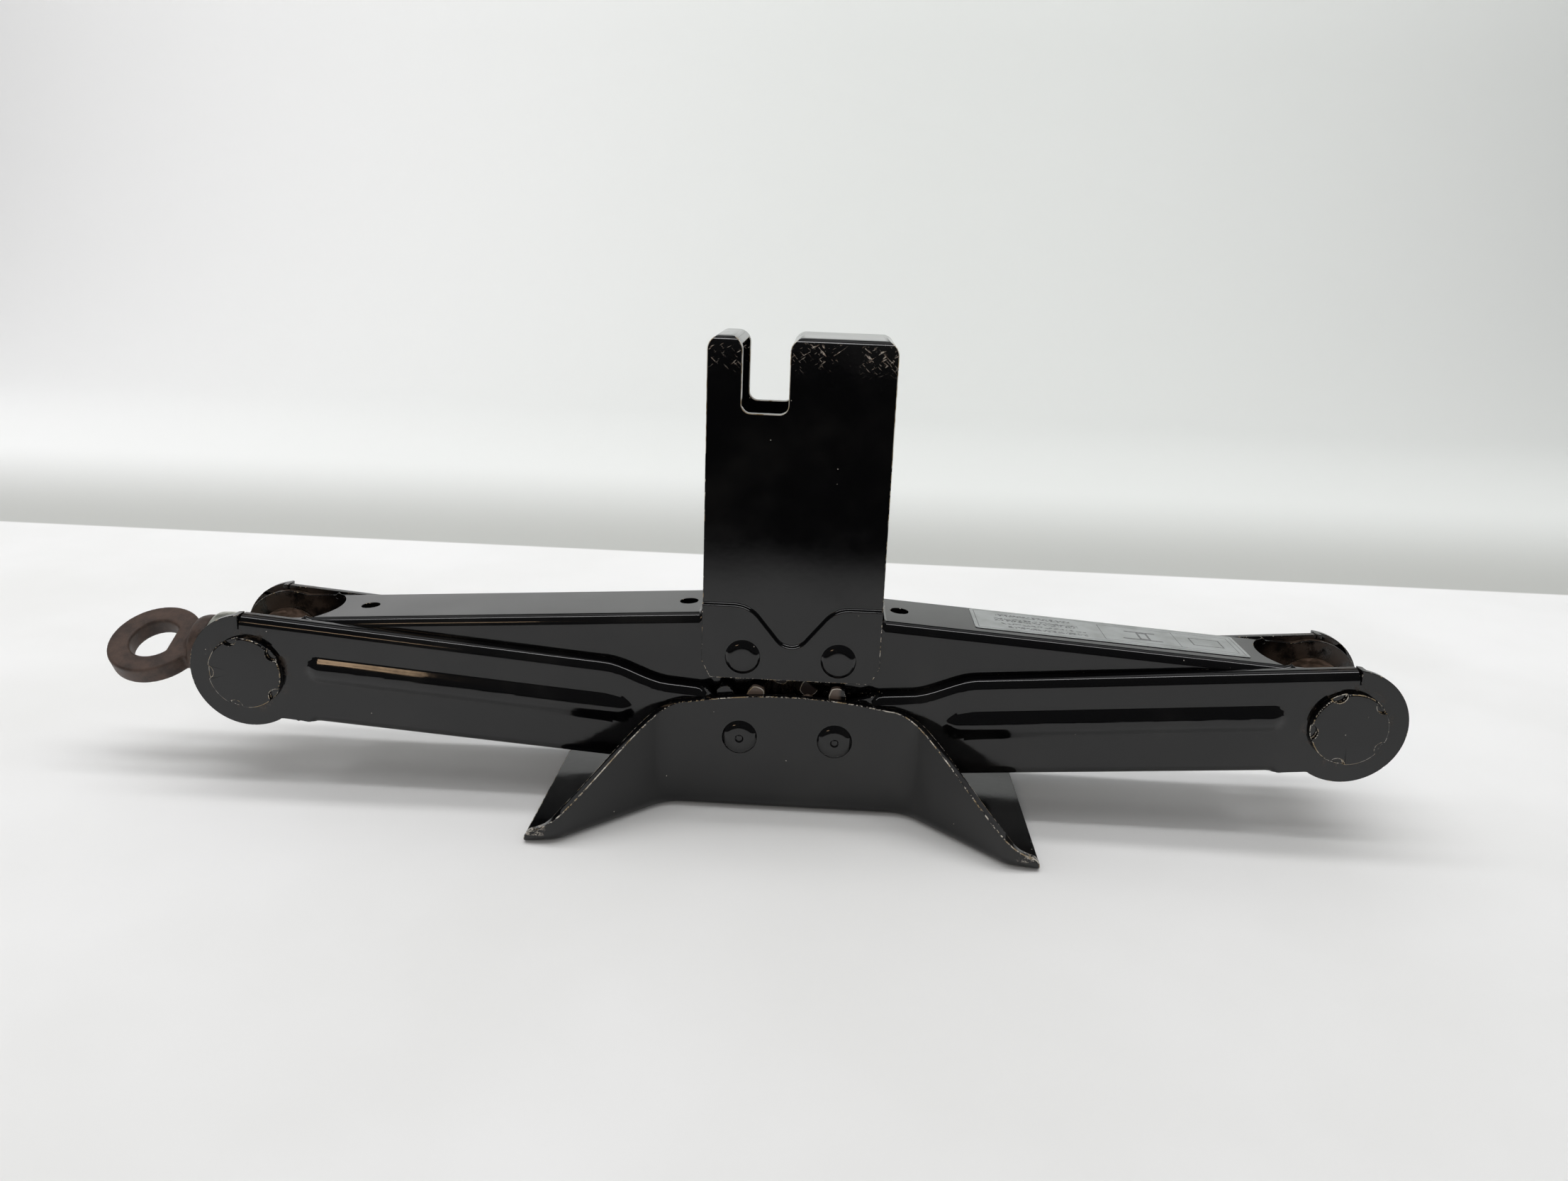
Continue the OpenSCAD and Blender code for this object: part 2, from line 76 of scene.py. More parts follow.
PIN_R = 5.0
JOURNAL_R = 9.0
RUNNING_FIT = 0.05
LOOSE_FIT = 0.35

# Material indexes on every sheet part
FACE, EDGE = 0, 1


# ---------------------------------------------------------------- shared shapes


def ease(t):
    """Smooth step from 0 to 1."""
    t = min(1.0, max(0.0, t))
    return t * t * (3 - 2 * t)


def arc(x, z, r, a0, a1, steps=10):
    """Points of an arc about (x, z), from a0 to a1 degrees."""
    angles = [math.radians(a0 + (a1 - a0) * i / steps) for i in range(steps + 1)]
    return [(x + r * math.cos(a), z + r * math.sin(a)) for a in angles]


def rounded_path(corners, steps, bend_steps=8):
    """Points along a line through corners (x, z, radius), with every bend rounded."""
    points = [Vector(c[:2]) for c in corners]
    path = []
    start = points[0]
    for k in range(1, len(points)):
        into = (points[k] - points[k - 1]).normalized()
        end = points[k]
        turn = 0.0
        if k < len(points) - 1:
            out = (points[k + 1] - points[k]).normalized()
            turn = into.angle(out, 0.0)
            end = points[k] - into * corners[k][2] * math.tan(turn / 2)
        path += [start.lerp(end, i / steps[k - 1]) for i in range(steps[k - 1])]
        start = end
        if k < len(points) - 1:
            side = out - into * into.dot(out)
            side = side.normalized() if side.length > 1e-9 else Vector((0, 0))
            r = corners[k][2]
            bend = [
                end + into * r * math.sin(turn * i / bend_steps) + side * r * (1 - math.cos(turn * i / bend_steps))
                for i in range(bend_steps + 1)
            ]
            path += bend[:-1]
            start = bend[-1]
    return path + [points[-1]]


def pick(piece):
    bpy.ops.object.select_all(action="DESELECT")
    piece.select_set(True)
    bpy.context.view_layer.objects.active = piece


def edit(piece):
    """Opens a piece in edit mode, selected all over."""
    pick(piece)
    bpy.ops.object.mode_set(mode="EDIT")
    bpy.ops.mesh.select_all(action="SELECT")


def close_up(piece, gap=0.001):
    """Merges doubled points and turns every face outwards."""
    edit(piece)
    bpy.ops.mesh.remove_doubles(threshold=gap)
    bpy.ops.mesh.normals_make_consistent(inside=False)
    bpy.ops.object.mode_set(mode="OBJECT")


def apply_modifier(piece, kind, **settings):
    pick(piece)
    modifier = piece.modifiers.new(kind.lower(), kind)
    for name, value in settings.items():
        setattr(modifier, name, value)
    bpy.ops.object.modifier_apply(modifier=modifier.name)


def dress(piece, *finishes, index=0):
    piece.data.materials.clear()
    for finish in finishes:
        piece.data.materials.append(finish)
    for face in piece.data.polygons:
        face.material_index = index


def pressed_blank(name, columns, rows, form, thickness, finishes):
    """A flat grid pressed to shape, then given its thickness on the inside."""
    bpy.ops.mesh.primitive_grid_add(x_subdivisions=columns, y_subdivisions=rows, size=2)
    piece = bpy.context.object
    piece.name = name
    for vertex in piece.data.vertices:
        column = round((vertex.co.x + 1) / 2 * columns)
        row = round((vertex.co.y + 1) / 2 * rows)
        vertex.co = form(column, row)
    piece.data.update()
    outward = sum(f.area * f.normal.y * (1 if f.center.y > 0 else -1) for f in piece.data.polygons)
    if outward < 0:
        piece.data.flip_normals()
    dress(piece, *finishes)
    apply_modifier(piece, "SOLIDIFY", thickness=thickness, offset=-1, use_even_offset=True)
    return piece


def prism(outline, low, high, axis="Y", name="prism"):
    """A flat outline, extruded along Y or Z."""
    bpy.ops.mesh.primitive_circle_add(vertices=len(outline), radius=1, fill_type="NGON")
    piece = bpy.context.object
    piece.name = name
    for vertex, (a, b) in zip(piece.data.vertices, outline):
        vertex.co = (a, low, b) if axis == "Y" else (a, b, low)
    edit(piece)
    rise = (0, high - low, 0) if axis == "Y" else (0, 0, high - low)
    bpy.ops.mesh.extrude_region_move(TRANSFORM_OT_translate={"value": rise})
    bpy.ops.mesh.select_all(action="SELECT")
    bpy.ops.mesh.normals_make_consistent(inside=False)
    bpy.ops.object.mode_set(mode="OBJECT")
    return piece


def block(x0, x1, y0, y1, z0, z1):
    return prism([(x0, z0), (x1, z0), (x1, z1), (x0, z1)], y0, y1)


def rod(r, length, at=(0, 0, 0), along="Y", vertices=64):
    turn = {"X": (0, math.pi / 2, 0), "Y": (math.pi / 2, 0, 0), "Z": (0, 0, 0)}[along]
    bpy.ops.mesh.primitive_cylinder_add(vertices=vertices, radius=r, depth=length, location=at, rotation=turn)
    return bpy.context.object


def cut(piece, cutter, operation="DIFFERENCE"):
    """Shears or pierces a piece."""
    dress(cutter, *piece.data.materials)
    apply_modifier(piece, "BOOLEAN", object=cutter, operation=operation, solver="MANIFOLD")
    bpy.data.objects.remove(cutter)


def tidy_faces(piece, angle=0.4, gap=0.08):
    """Joins the flat faces that a cut leaves in strips."""
    edit(piece)
    bpy.ops.mesh.remove_doubles(threshold=gap)
    bpy.ops.mesh.dissolve_limited(angle_limit=math.radians(angle), delimit={"MATERIAL"})
    bpy.ops.object.mode_set(mode="OBJECT")


def break_edges(piece, width=0.25, segments=2, angle=40):
    """Rounds the sharp edges, where the paint has worn thin. A bevelled point that shoots off is set back."""
    before = BVHTree.FromPolygons([v.co for v in piece.data.vertices], [f.vertices for f in piece.data.polygons])
    apply_modifier(piece, "BEVEL", width=width, segments=segments, limit_method="ANGLE",
                   angle_limit=math.radians(angle), use_clamp_overlap=False, material=EDGE)
    for vertex in piece.data.vertices:
        spot, _, _, away = before.find_nearest(vertex.co)
        if away > 0.8 * width:
            vertex.co = spot


def settle(piece, place=None, body=None, nodes=(), smooth=30, even=True):
    """Puts a piece modelled in millimetres into the frame, parents it to the body it rides on, and hides the imported
    parts that it replaces.
    """
    pick(piece)
    bpy.ops.object.transform_apply(location=True, rotation=True, scale=True)
    matrix = Matrix.Scale(0.001, 4) @ (place or Matrix.Identity(4))
    piece.data.transform(matrix)
    if matrix.determinant() < 0:
        piece.data.flip_normals()
    bpy.ops.object.shade_smooth_by_angle(angle=math.radians(smooth))
    if even:
        apply_modifier(piece, "WEIGHTED_NORMAL", mode="FACE_AREA", weight=100, keep_sharp=True)
    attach(piece, body)
    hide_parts(*nodes)
    return piece


def turned(name, profile, finishes, axis="Y", steps=64, closed=False):
    """A lathed piece: profile is (distance along the axis, radius)."""
    columns = len(profile) - 1
    bpy.ops.mesh.primitive_grid_add(x_subdivisions=columns, y_subdivisions=steps, size=2)
    piece = bpy.context.object
    piece.name = name
    for vertex in piece.data.vertices:
        along, r = profile[round((vertex.co.x + 1) / 2 * columns)]
        turn = math.tau * round((vertex.co.y + 1) / 2 * steps) / steps
        a, b = r * math.cos(turn), r * math.sin(turn)
        vertex.co = (along, a, b) if axis == "X" else (a, along, b)
    dress(piece, *finishes)
    close_up(piece)
    return piece


# ---------------------------------------------------------------- finishes


def linear(hex_colour):
    """sRGB hex to the linear colour that a shader takes."""
    parts = [int(hex_colour[i:i + 2], 16) / 255 for i in (1, 3, 5)]
    return tuple(c / 12.92 if c <= 0.04045 else ((c + 0.055) / 1.055) ** 2.4 for c in parts) + (1.0,)


def add(tree, kind, inputs=None, **settings):
    """Adds a node with its settings; inputs are values or other nodes' outputs."""
    made = tree.nodes.new(kind)
    for name, value in settings.items():
        setattr(made, name, value)
    for key, value in (inputs or {}).items():
        if isinstance(value, bpy.types.NodeSocket):
            tree.links.new(value, made.inputs[key])
        else:
            made.inputs[key].default_value = value
    return made


def new_finish(name):
    material = bpy.data.materials.new(name)
    material.use_nodes = True
    tree = material.node_tree
    tree.nodes.clear()
    shader = add(tree, "ShaderNodeBsdfPrincipled")
    output = add(tree, "ShaderNodeOutputMaterial")
    tree.links.new(shader.outputs[0], output.inputs["Surface"])
    where = add(tree, "ShaderNodeTexCoord").outputs["Object"]
    return material, tree, shader, where


def per_metre(millimetres):
    """Texture scale for a pattern whose features are that many millimetres apart."""
    return 1000.0 / millimetres


def grain(tree, where, size_mm, detail=2.0, roughness=0.5):
    inputs = {"Vector": where, "Scale": per_metre(size_mm), "Detail": detail, "Roughness": roughness}
    return add(tree, "ShaderNodeTexNoise", inputs).outputs["Fac"]


def between(tree, value, low, high, to_low=0.0, to_high=1.0):
    """A soft threshold: value from low to high becomes to_low to to_high."""
    inputs = {"Value": value, "From Min": low, "From Max": high, "To Min": to_low, "To Max": to_high}
    return add(tree, "ShaderNodeMapRange", inputs, interpolation_type="SMOOTHSTEP").outputs[0]


def both(tree, a, b, operation="MULTIPLY"):
    return add(tree, "ShaderNodeMath", {0: a, 1: b}, operation=operation).outputs[0]


def tint(tree, share, under, over):
    """Colour under, covered by colour over where share is 1."""
    inputs = {"Factor": share, 6: under, 7: over}
    return add(tree, "ShaderNodeMix", inputs, data_type="RGBA").outputs[2]


def relief(tree, height, distance_mm, strength=1.0):
    inputs = {"Height": height, "Distance": distance_mm / 1000, "Strength": strength}
    return add(tree, "ShaderNodeBump", inputs).outputs[0]


def specks(tree, where, spacing_mm, size, share):
    """Scattered dust: small spots in a share of the cells of a random grid."""
    cells = add(tree, "ShaderNodeTexVoronoi", {"Vector": where, "Scale": per_metre(spacing_mm)})
    spot = between(tree, cells.outputs["Distance"], size, size * 0.6)
    chosen = add(tree, "ShaderNodeSeparateColor", {"Color": cells.outputs["Color"]}).outputs[0]
    return both(tree, spot, between(tree, chosen, share, share * 0.9))


def away_from(tree, where, x, z):
    """Distance from an axis across the jack at (x, z) and from its mirror image at (-x, z), in metres."""
    split = add(tree, "ShaderNodeSeparateXYZ", {"Vector": where})
    across = add(tree, "ShaderNodeMath", {0: split.outputs["X"]}, operation="ABSOLUTE").outputs[0]
    dx, dz = both(tree, across, x, "SUBTRACT"), both(tree, split.outputs["Z"], z, "SUBTRACT")
    return both(tree, both(tree, both(tree, dx, dx), both(tree, dz, dz), "ADD"), 0.5, "POWER"), across


def tooth_zone(tree, where, pivot_z):
    """1 on the gear teeth of an arm whose pivot is at that height, 0 on the rest of it."""
    away, across = away_from(tree, where, GEAR_R / 1000, pivot_z / 1000)
    return both(tree, between(tree, away, 0.0138, 0.0146), between(tree, across, 0.0185, 0.0165))


WAVES = 40.0


def black_enamel(name="black_enamel", scuffs=False, pivot_z=None, teeth_colour="#63564d", feet=False):
    """Stoved black enamel over pressed steel: glossy, slightly uneven, with dust and faint handling marks."""
    material, tree, shader, where = new_finish(name)
    dust = specks(tree, where, 3.2, 0.07, 0.08)
    tone_and_pocket_sheen = between(tree, grain(tree, where, 55.0, 4.0, 0.6), 0.5, 0.75, 0.0, 0.02)
    colour = tint(tree, both(tree, dust, tone_and_pocket_sheen, "MAXIMUM"), linear("#060607"), linear("#a8a39a"))
    smear = grain(tree, where, 24.0, 5.0, 0.65)
    gloss = between(tree, smear, 0.35, 0.75, 0.06, 0.16)
    if scuffs:
        # Steel shows through where the saddle's upper edge has rubbed on sills
        split = add(tree, "ShaderNodeSeparateXYZ", {"Vector": where})
        height, across = split.outputs["Z"], split.outputs["X"]
        worn = None
        for lean, size_mm in ((1.0, 0.7), (-0.8, 0.6)):
            inputs = {"Vector": where, "Rotation": (0.0, lean, 0.0), "Scale": (1.0, 2.5, 5.0)}
            strokes = grain(tree, add(tree, "ShaderNodeMapping", inputs, vector_type="TEXTURE").outputs[0], size_mm, 2.0, 0.6)
            marks = between(tree, strokes, 0.60, 0.68)
            worn = marks if worn is None else both(tree, worn, marks, "MAXIMUM")
        patches = between(tree, grain(tree, where, 8.0, 3.0, 0.6), 0.42, 0.56)
        near_top = both(tree, between(tree, height, 0.1505, 0.1590), between(tree, height, 0.1625, 0.1600))
        ends = both(tree, between(tree, across, 0.021, 0.027), between(tree, height, 0.147, 0.153))
        worn = both(tree, worn, both(tree, both(tree, near_top, patches), both(tree, ends, near_top), "MAXIMUM"))
        bare = between(tree, grain(tree, where, 0.9, 2.0), 0.3, 0.7)
        steel = tint(tree, bare, linear("#6d5a4c"), linear("#b5aca1"))
        colour = tint(tree, worn, colour, steel)
        gloss = both(tree, gloss, both(tree, worn, 0.4), "ADD")
    if feet:
        # The tips of the feet are scraped bare by the ground and by other tools
        split = add(tree, "ShaderNodeSeparateXYZ", {"Vector": where})
        tips = between(tree, both(tree, split.outputs["X"], split.outputs["X"]), 0.0755 ** 2, 0.0815 ** 2)
        flakes = between(tree, grain(tree, where, 1.7, 3.0, 0.7), 0.52, 0.58)
        scraped = both(tree, tips, both(tree, flakes, between(tree, split.outputs["Z"], 0.0027, 0.0034)))
        colour = tint(tree, scraped, colour, linear("#a39c92"))
        gloss = both(tree, gloss, both(tree, scraped, 0.35), "ADD")
    if pivot_z:
        # The paint is rubbed off the gear teeth, brown grease has crept out round the trunnion heads, and a paler brown
        # is painted on the inner faces round the heads as a painted highlight
        teeth = tooth_zone(tree, where, pivot_z)
        colour = tint(tree, teeth, colour, linear(teeth_colour))
        away, _ = away_from(tree, where, TRUNNION_X / 1000, SCREW_Z / 1000)
        ring = both(tree, between(tree, away, 0.0170, 0.0133), between(tree, away, 0.0120, 0.0128))
        creep = both(tree, ring, between(tree, grain(tree, where, 4.0, 5.0, 0.7), 0.5, 0.64))
        colour = tint(tree, both(tree, creep, 0.3), colour, linear("#5a4c40"))
        inward = add(tree, "ShaderNodeMath", {0: add(tree, "ShaderNodeSeparateXYZ", {"Vector": where}).outputs["Y"]},
                     operation="ABSOLUTE").outputs[0]
        # Painted highlight: the inner faces round the trunnion heads are tinted a paler brown and made glossier,
        # standing for brownish glints inside the pocket
        tone_and_pocket_sheen = both(tree, between(tree, away, 0.0250, 0.0170), between(tree, inward, 0.0200, 0.0194))
        tone_and_pocket_sheen = both(tree, tone_and_pocket_sheen, between(tree, grain(tree, where, 6.0, 4.0, 0.6), 0.35, 0.6))
        colour = tint(tree, both(tree, tone_and_pocket_sheen, 0.7), colour, linear("#453930"))
        gloss = both(tree, both(tree, both(tree, teeth, both(tree, creep, tone_and_pocket_sheen, "MAXIMUM"), "MAXIMUM"), 0.3), gloss, "ADD")
    # Fine orange peel in the paint, over the slow waves that pressing leaves in the sheet
    orange_peel = grain(tree, where, 2.4, 1.0)
    waves = grain(tree, where, 26.0, 0.0)
    surface = both(tree, orange_peel, both(tree, waves, WAVES), "ADD")
    tree.links.new(colour, shader.inputs["Base Color"])
    tree.links.new(gloss, shader.inputs["Roughness"])
    tree.links.new(relief(tree, surface, 0.008), shader.inputs["Normal"])
    shader.inputs["IOR"].default_value = 1.52
    return material


def worn_edge(name, bare_share, teeth_z=None, bright_above=None):
    """A sheared edge: enamel hardly holds on it, so specks of bare, slightly rusty steel show."""
    material, tree, shader, where = new_finish(name)
    fleck = grain(tree, where, 1.3, 3.0, 0.75)
    stretch = grain(tree, where, 14.0, 2.0)
    limit = between(tree, stretch, 0.3, 0.7, 0.62 - 0.3 * bare_share, 0.5 - 0.3 * bare_share)
    if teeth_z:
        limit = both(tree, limit, both(tree, tooth_zone(tree, where, teeth_z), 0.3), "SUBTRACT")
    if bright_above:
        height = add(tree, "ShaderNodeSeparateXYZ", {"Vector": where}).outputs["Z"]
        limit = both(tree, limit, between(tree, height, bright_above - 0.008, bright_above, 0.0, 0.25), "SUBTRACT")
    bare = add(tree, "ShaderNodeMath", {0: fleck, 1: limit}, operation="GREATER_THAN").outputs[0]
    rust = between(tree, grain(tree, where, 2.6, 2.0), 0.45, 0.62)
    steel = tint(tree, rust, linear("#cfc9be"), linear("#9a8768"))
    tree.links.new(tint(tree, bare, linear("#080809"), steel), shader.inputs["Base Color"])
    tree.links.new(both(tree, bare, 0.4), shader.inputs["Metallic"])
    tree.links.new(between(tree, bare, 0.0, 1.0, 0.15, 0.45), shader.inputs["Roughness"])
    return material


def turned_steel(name="trunnion_coating"):
    """Turned steel, thinly coated and stained brown-black by grease, dull with dust."""
    material, tree, shader, where = new_finish(name)
    stain = between(tree, grain(tree, where, 6.0, 5.0, 0.65), 0.38, 0.66)
    colour = tint(tree, stain, linear("#2f251d"), linear("#5e4c40"))
    tree.links.new(colour, shader.inputs["Base Color"])
    tree.links.new(between(tree, stain, 0.0, 1.0, 0.28, 0.55), shader.inputs["Roughness"])
    tree.links.new(relief(tree, grain(tree, where, 0.7, 3.0), 0.02), shader.inputs["Normal"])
    shader.inputs["Metallic"].default_value = 0.35
    return material


def greased_thread(name="greased_thread"):
    """Rolled steel thread under brown grease: pale steel, with dark, wetter patches of grease."""
    material, tree, shader, where = new_finish(name)
    grease = between(tree, grain(tree, where, 5.0, 4.0, 0.6), 0.35, 0.6)
    colour = tint(tree, grease, linear("#7a736b"), linear("#2a1f17"))
    tree.links.new(colour, shader.inputs["Base Color"])
    tree.links.new(between(tree, grease, 0.0, 1.0, 0.3, 0.18), shader.inputs["Roughness"])
    tree.links.new(between(tree, grease, 0.0, 1.0, 0.9, 0.2), shader.inputs["Metallic"])
    tree.links.new(relief(tree, grain(tree, where, 1.5, 3.0), 0.05), shader.inputs["Normal"])
    return material


def phosphated_forging(name="phosphated_forging"):
    """Drop-forged steel, phosphated dark brown: matt and mottled, with fine paler scale pits."""
    material, tree, shader, where = new_finish(name)
    mottle = between(tree, grain(tree, where, 5.5, 5.0, 0.7), 0.35, 0.68)
    colour = tint(tree, mottle, linear("#3b302b"), linear("#584840"))
    pits = grain(tree, where, 0.55, 4.0, 0.65)
    colour = tint(tree, between(tree, pits, 0.62, 0.72, 0.0, 0.5), colour, linear("#6c5c52"))
    tree.links.new(colour, shader.inputs["Base Color"])
    tree.links.new(between(tree, mottle, 0.0, 1.0, 0.42, 0.6), shader.inputs["Roughness"])
    tree.links.new(relief(tree, pits, 0.06), shader.inputs["Normal"])
    shader.inputs["Metallic"].default_value = 0.25
    return material


def zinc_plate(name="zinc_plate"):
    """Bright zinc plate gone dull: pale, faintly green-yellow, satin, with darker handling stains."""
    material, tree, shader, where = new_finish(name)
    stain = between(tree, grain(tree, where, 4.0, 4.0, 0.6), 0.45, 0.75)
    colour = tint(tree, stain, linear("#b9bab0"), linear("#7c7a6c"))
    tree.links.new(colour, shader.inputs["Base Color"])
    tree.links.new(between(tree, stain, 0.0, 1.0, 0.28, 0.5), shader.inputs["Roughness"])
    tree.links.new(relief(tree, grain(tree, where, 0.6, 2.0), 0.01), shader.inputs["Normal"])
    shader.inputs["Metallic"].default_value = 0.9
    return material


def plain_metal(name, pale, dark, size_mm=3.0):
    """Plain machined metal, oily and slightly stained."""
    material, tree, shader, where = new_finish(name)
    stain = between(tree, grain(tree, where, size_mm, 4.0, 0.6), 0.4, 0.7)
    tree.links.new(tint(tree, stain, linear(pale), linear(dark)), shader.inputs["Base Color"])
    tree.links.new(between(tree, stain, 0.0, 1.0, 0.28, 0.48), shader.inputs["Roughness"])
    tree.links.new(relief(tree, grain(tree, where, 0.5, 2.0), 0.01), shader.inputs["Normal"])
    shader.inputs["Metallic"].default_value = 1.0
    return material


ENAMEL = black_enamel()
SCUFFED = black_enamel("scuffed_enamel", scuffs=True)
LOWER_ENAMEL = black_enamel("lower_arm_enamel", pivot_z=BASE_PIVOT_Z)
# The upper arms' teeth get a near-black brown, not the lower arms' bare-steel brown: painted shade, for teeth that lie
# in shadow inside the saddle
UPPER_ENAMEL = black_enamel("upper_arm_enamel", pivot_z=SADDLE_PIVOT_Z, teeth_colour="#2c2624")
BASE_ENAMEL = black_enamel("base_enamel", feet=True)
WORN = worn_edge("worn_edge", 0.4)
SPECKLED = worn_edge("speckled_edge", 0.22)
SADDLE_EDGE = worn_edge("saddle_edge", 0.06, bright_above=0.130)
LOWER_EDGE = worn_edge("lower_arm_edge", -0.15, BASE_PIVOT_Z)
UPPER_EDGE = worn_edge("upper_arm_edge", -0.2, SADDLE_PIVOT_Z)
TRUNNION = turned_steel()
THREAD = greased_thread()
FORGING = phosphated_forging()
ZINC = zinc_plate()
STEEL = plain_metal("plain_steel", "#9d9a94", "#5b5148")
BRONZE = plain_metal("bearing_bronze", "#a5824b", "#5c4526")


# ---------------------------------------------------------------- arms

GEAR_TEETH = 9
TOOTH_STEP = 360 / GEAR_TEETH
PITCH_R = GEAR_R
TIP_R = PITCH_R + 2.1
ROOT_R = PITCH_R - 2.8
PRESSURE_ANGLE = math.radians(25)
TOOTH_PLAY = 0.4
LEFT_PHASE = -9
RIGHT_PHASE = LEFT_PHASE + TOOTH_STEP / 2


def involute(angle):
    return math.tan(angle) - angle


def tooth_half(r):
    """Half the angle that a tooth fills at radius r, in degrees."""
    base_r = PITCH_R * math.cos(PRESSURE_ANGLE)
    half = math.radians(90 / GEAR_TEETH) - TOOTH_PLAY / 4 / PITCH_R + involute(PRESSURE_ANGLE)
    return math.degrees(half - (involute(math.acos(base_r / r)) if r > base_r else 0))


def gear_outline(phase, teeth):
    """Toothed end of an arm, from its first tooth round to its last, in the arm's own frame."""
    crown = 0.9
    flank_top = TIP_R - crown
    radii = [ROOT_R + (flank_top - ROOT_R) * i / 8 for i in range(9)]
    outline = []
    for k in range(-1, teeth - 1):
        middle = 180 - math.degrees(FOLD) - phase - k * TOOTH_STEP
        points = [(tooth_half(r), r) for r in radii]
        half = tooth_half(flank_top)
        points += [(half * math.cos(math.radians(15 * i)), flank_top + crown * math.sin(math.radians(15 * i)))
                   for i in range(1, 6)]
        points.append((0, TIP_R))
        points += [(-turn, r) for turn, r in reversed(points[:-1])]
        for turn, r in points:
            a = math.radians(middle + turn)
            outline.append((r * math.cos(a), r * math.sin(a)))
    return outline


# Lower arm, in its own frame: X along the arm from the gear pivot, Z towards the screw
LIP_H = 20.0
LIP_LOW_H = 15.0
LOWER_END_R = 20.5
RAMP = (27.0, 50.0)
LOWER_WEB = (26.0, 150.0)
LIP_END = ARM_LEN + 2.8
BEAD_R = 4.7
BEAD_H = 1.6
BEAD_Z = 3.6
BEAD = (38.0, 154.0)


def lower_depth(u):
    return 15.3 + 2.0 * u / ARM_LEN


def lip_height(u):
    return LIP_LOW_H + (LIP_H - LIP_LOW_H) * ease((u - RAMP[0]) / (RAMP[1] - RAMP[0]))


def bead_height(u, z):
    """How far the rolled bead stands out of the flange."""
    middle = min(max(u, BEAD[0] + BEAD_R), BEAD[1] - BEAD_R)
    away = math.hypot(u - middle, z - BEAD_Z) / BEAD_R
    return BEAD_H * (1 - away * away) ** 1.25 if away < 1 else 0.0


def lower_section(u):
    """Half of the channel's cross-section at u, from the lip to the middle of the web."""
    fold = math.radians(90) * (ease((u - 12.5) / 5) if u < LIP_END + 0.1 else 0.0)
    deeper = 15 * ease((LOWER_WEB[0] - u) / 10) + 15 * ease((u - LOWER_WEB[1]) / 10)
    bend = 3.5
    corner = lip_height(u) - bend + bend * math.tan(fold / 2)
    bottom = -lower_depth(u) - deeper
    lip = (LOWER_OUT - 9 * math.sin(fold), corner + 9 * math.cos(fold), 0)
    return rounded_path([lip, (LOWER_OUT, corner, bend), (LOWER_OUT, bottom, 4.2), (0, bottom, 0)], [5, 34, 7])


def lower_outline(side):
    """Side view of a lower arm's flange, a little proud of the bends that stay."""
    teeth = gear_outline(LEFT_PHASE, 5) if side < 0 else gear_outline(RIGHT_PHASE, 4)
    spare = 1.6
    low = lower_depth(LOWER_WEB[1]) - 0.55
    start = 180 + math.degrees(math.asin(low / LOWER_END_R)) + 3
    top = [(LIP_END + 0.2, 20.25), (LIP_END + 0.2, LIP_H + 3), (RAMP[1], LIP_H + 3), (RAMP[0], LIP_LOW_H + 3),
           (16.5, LIP_LOW_H + 3), (16.0, LIP_LOW_H), (13.0, LIP_LOW_H)]
    end = arc(ARM_LEN, 0, LOWER_END_R, start, 360 + 81.2, 56)
    bottom = [(20, -lower_depth(20)), (LOWER_WEB[0], -lower_depth(26)), (LOWER_WEB[0] + 1.5, -lower_depth(26) - spare),
              (LOWER_WEB[1] - 1.0, -lower_depth(149) - spare), (LOWER_WEB[1] + 0.2, -low - 0.5), (LOWER_WEB[1] + 2.0, -low - 0.12),
              (LOWER_WEB[1] + 4.0, -low), (161.6, -low), (162.6, -low - 0.12)]
    first, last = teeth[0], teeth[-1]
    # The teeth run from under the arm round to its upper side
    if first[1] > last[1]:
        teeth = teeth[::-1]
    return bottom + end + top + teeth[::-1]


def lower_arm(side):
    name = "left_lower_arm" if side < 0 else "right_lower_arm"
    # The lip stops short, so the columns stand close together there
    u0, u1 = -20.5, ARM_LEN + 22.5
    places = [u0 + (u1 - u0) * i / 150 for i in range(151)]
    places = sorted([u for u in places if abs(u - LIP_END) > 1.2] + [LIP_END + step for step in (-0.45, 0.05, 0.40, 0.9)])
    columns = len(places) - 1
    sections = []
    for u in places:
        half = []
        for y, z in lower_section(u):
            half.append((u, y + (bead_height(u, z) if y > LOWER_OUT - 0.01 else 0), z))
        sections.append(half + [(u, -y, z) for u, y, z in reversed(half[:-1])])
    piece = pressed_blank(name + "_pressing", columns, len(sections[0]) - 1, lambda i, j: sections[i][j],
                          ARM_SHEET, [LOWER_ENAMEL, LOWER_EDGE])
    cut(piece, prism(lower_outline(side), -40, 40), "INTERSECT")
    cut(piece, block(LOWER_WEB[1], ARM_LEN + 40, -LOWER_IN + 0.05, LOWER_IN - 0.05, -45, -2))
    cut(piece, block(-30, LOWER_WEB[0], -LOWER_IN + 0.05, LOWER_IN - 0.05, -45, -2))
    cut(piece, block(-30, ARM_LEN + 40, -LIP_IN, LIP_IN, 3, 45))
    cut(piece, block(LIP_END + 0.02, LIP_END + 0.43, -40, 40, LIP_H - 4.6, 45))
    cut(piece, rod(PIN_R + RUNNING_FIT, 80))
    cut(piece, rod(JOURNAL_R + RUNNING_FIT, 80, (ARM_LEN, 0, 0)))
    tidy_faces(piece)
    break_edges(piece)
    c, s = math.cos(FOLD), math.sin(FOLD)
    place = Matrix(((c * side, 0, -s * side, GEAR_R * side), (0, 1, 0, 0), (s, 0, c, BASE_PIVOT_Z), (0, 0, 0, 1)))
    settle(piece, place, name, [name])


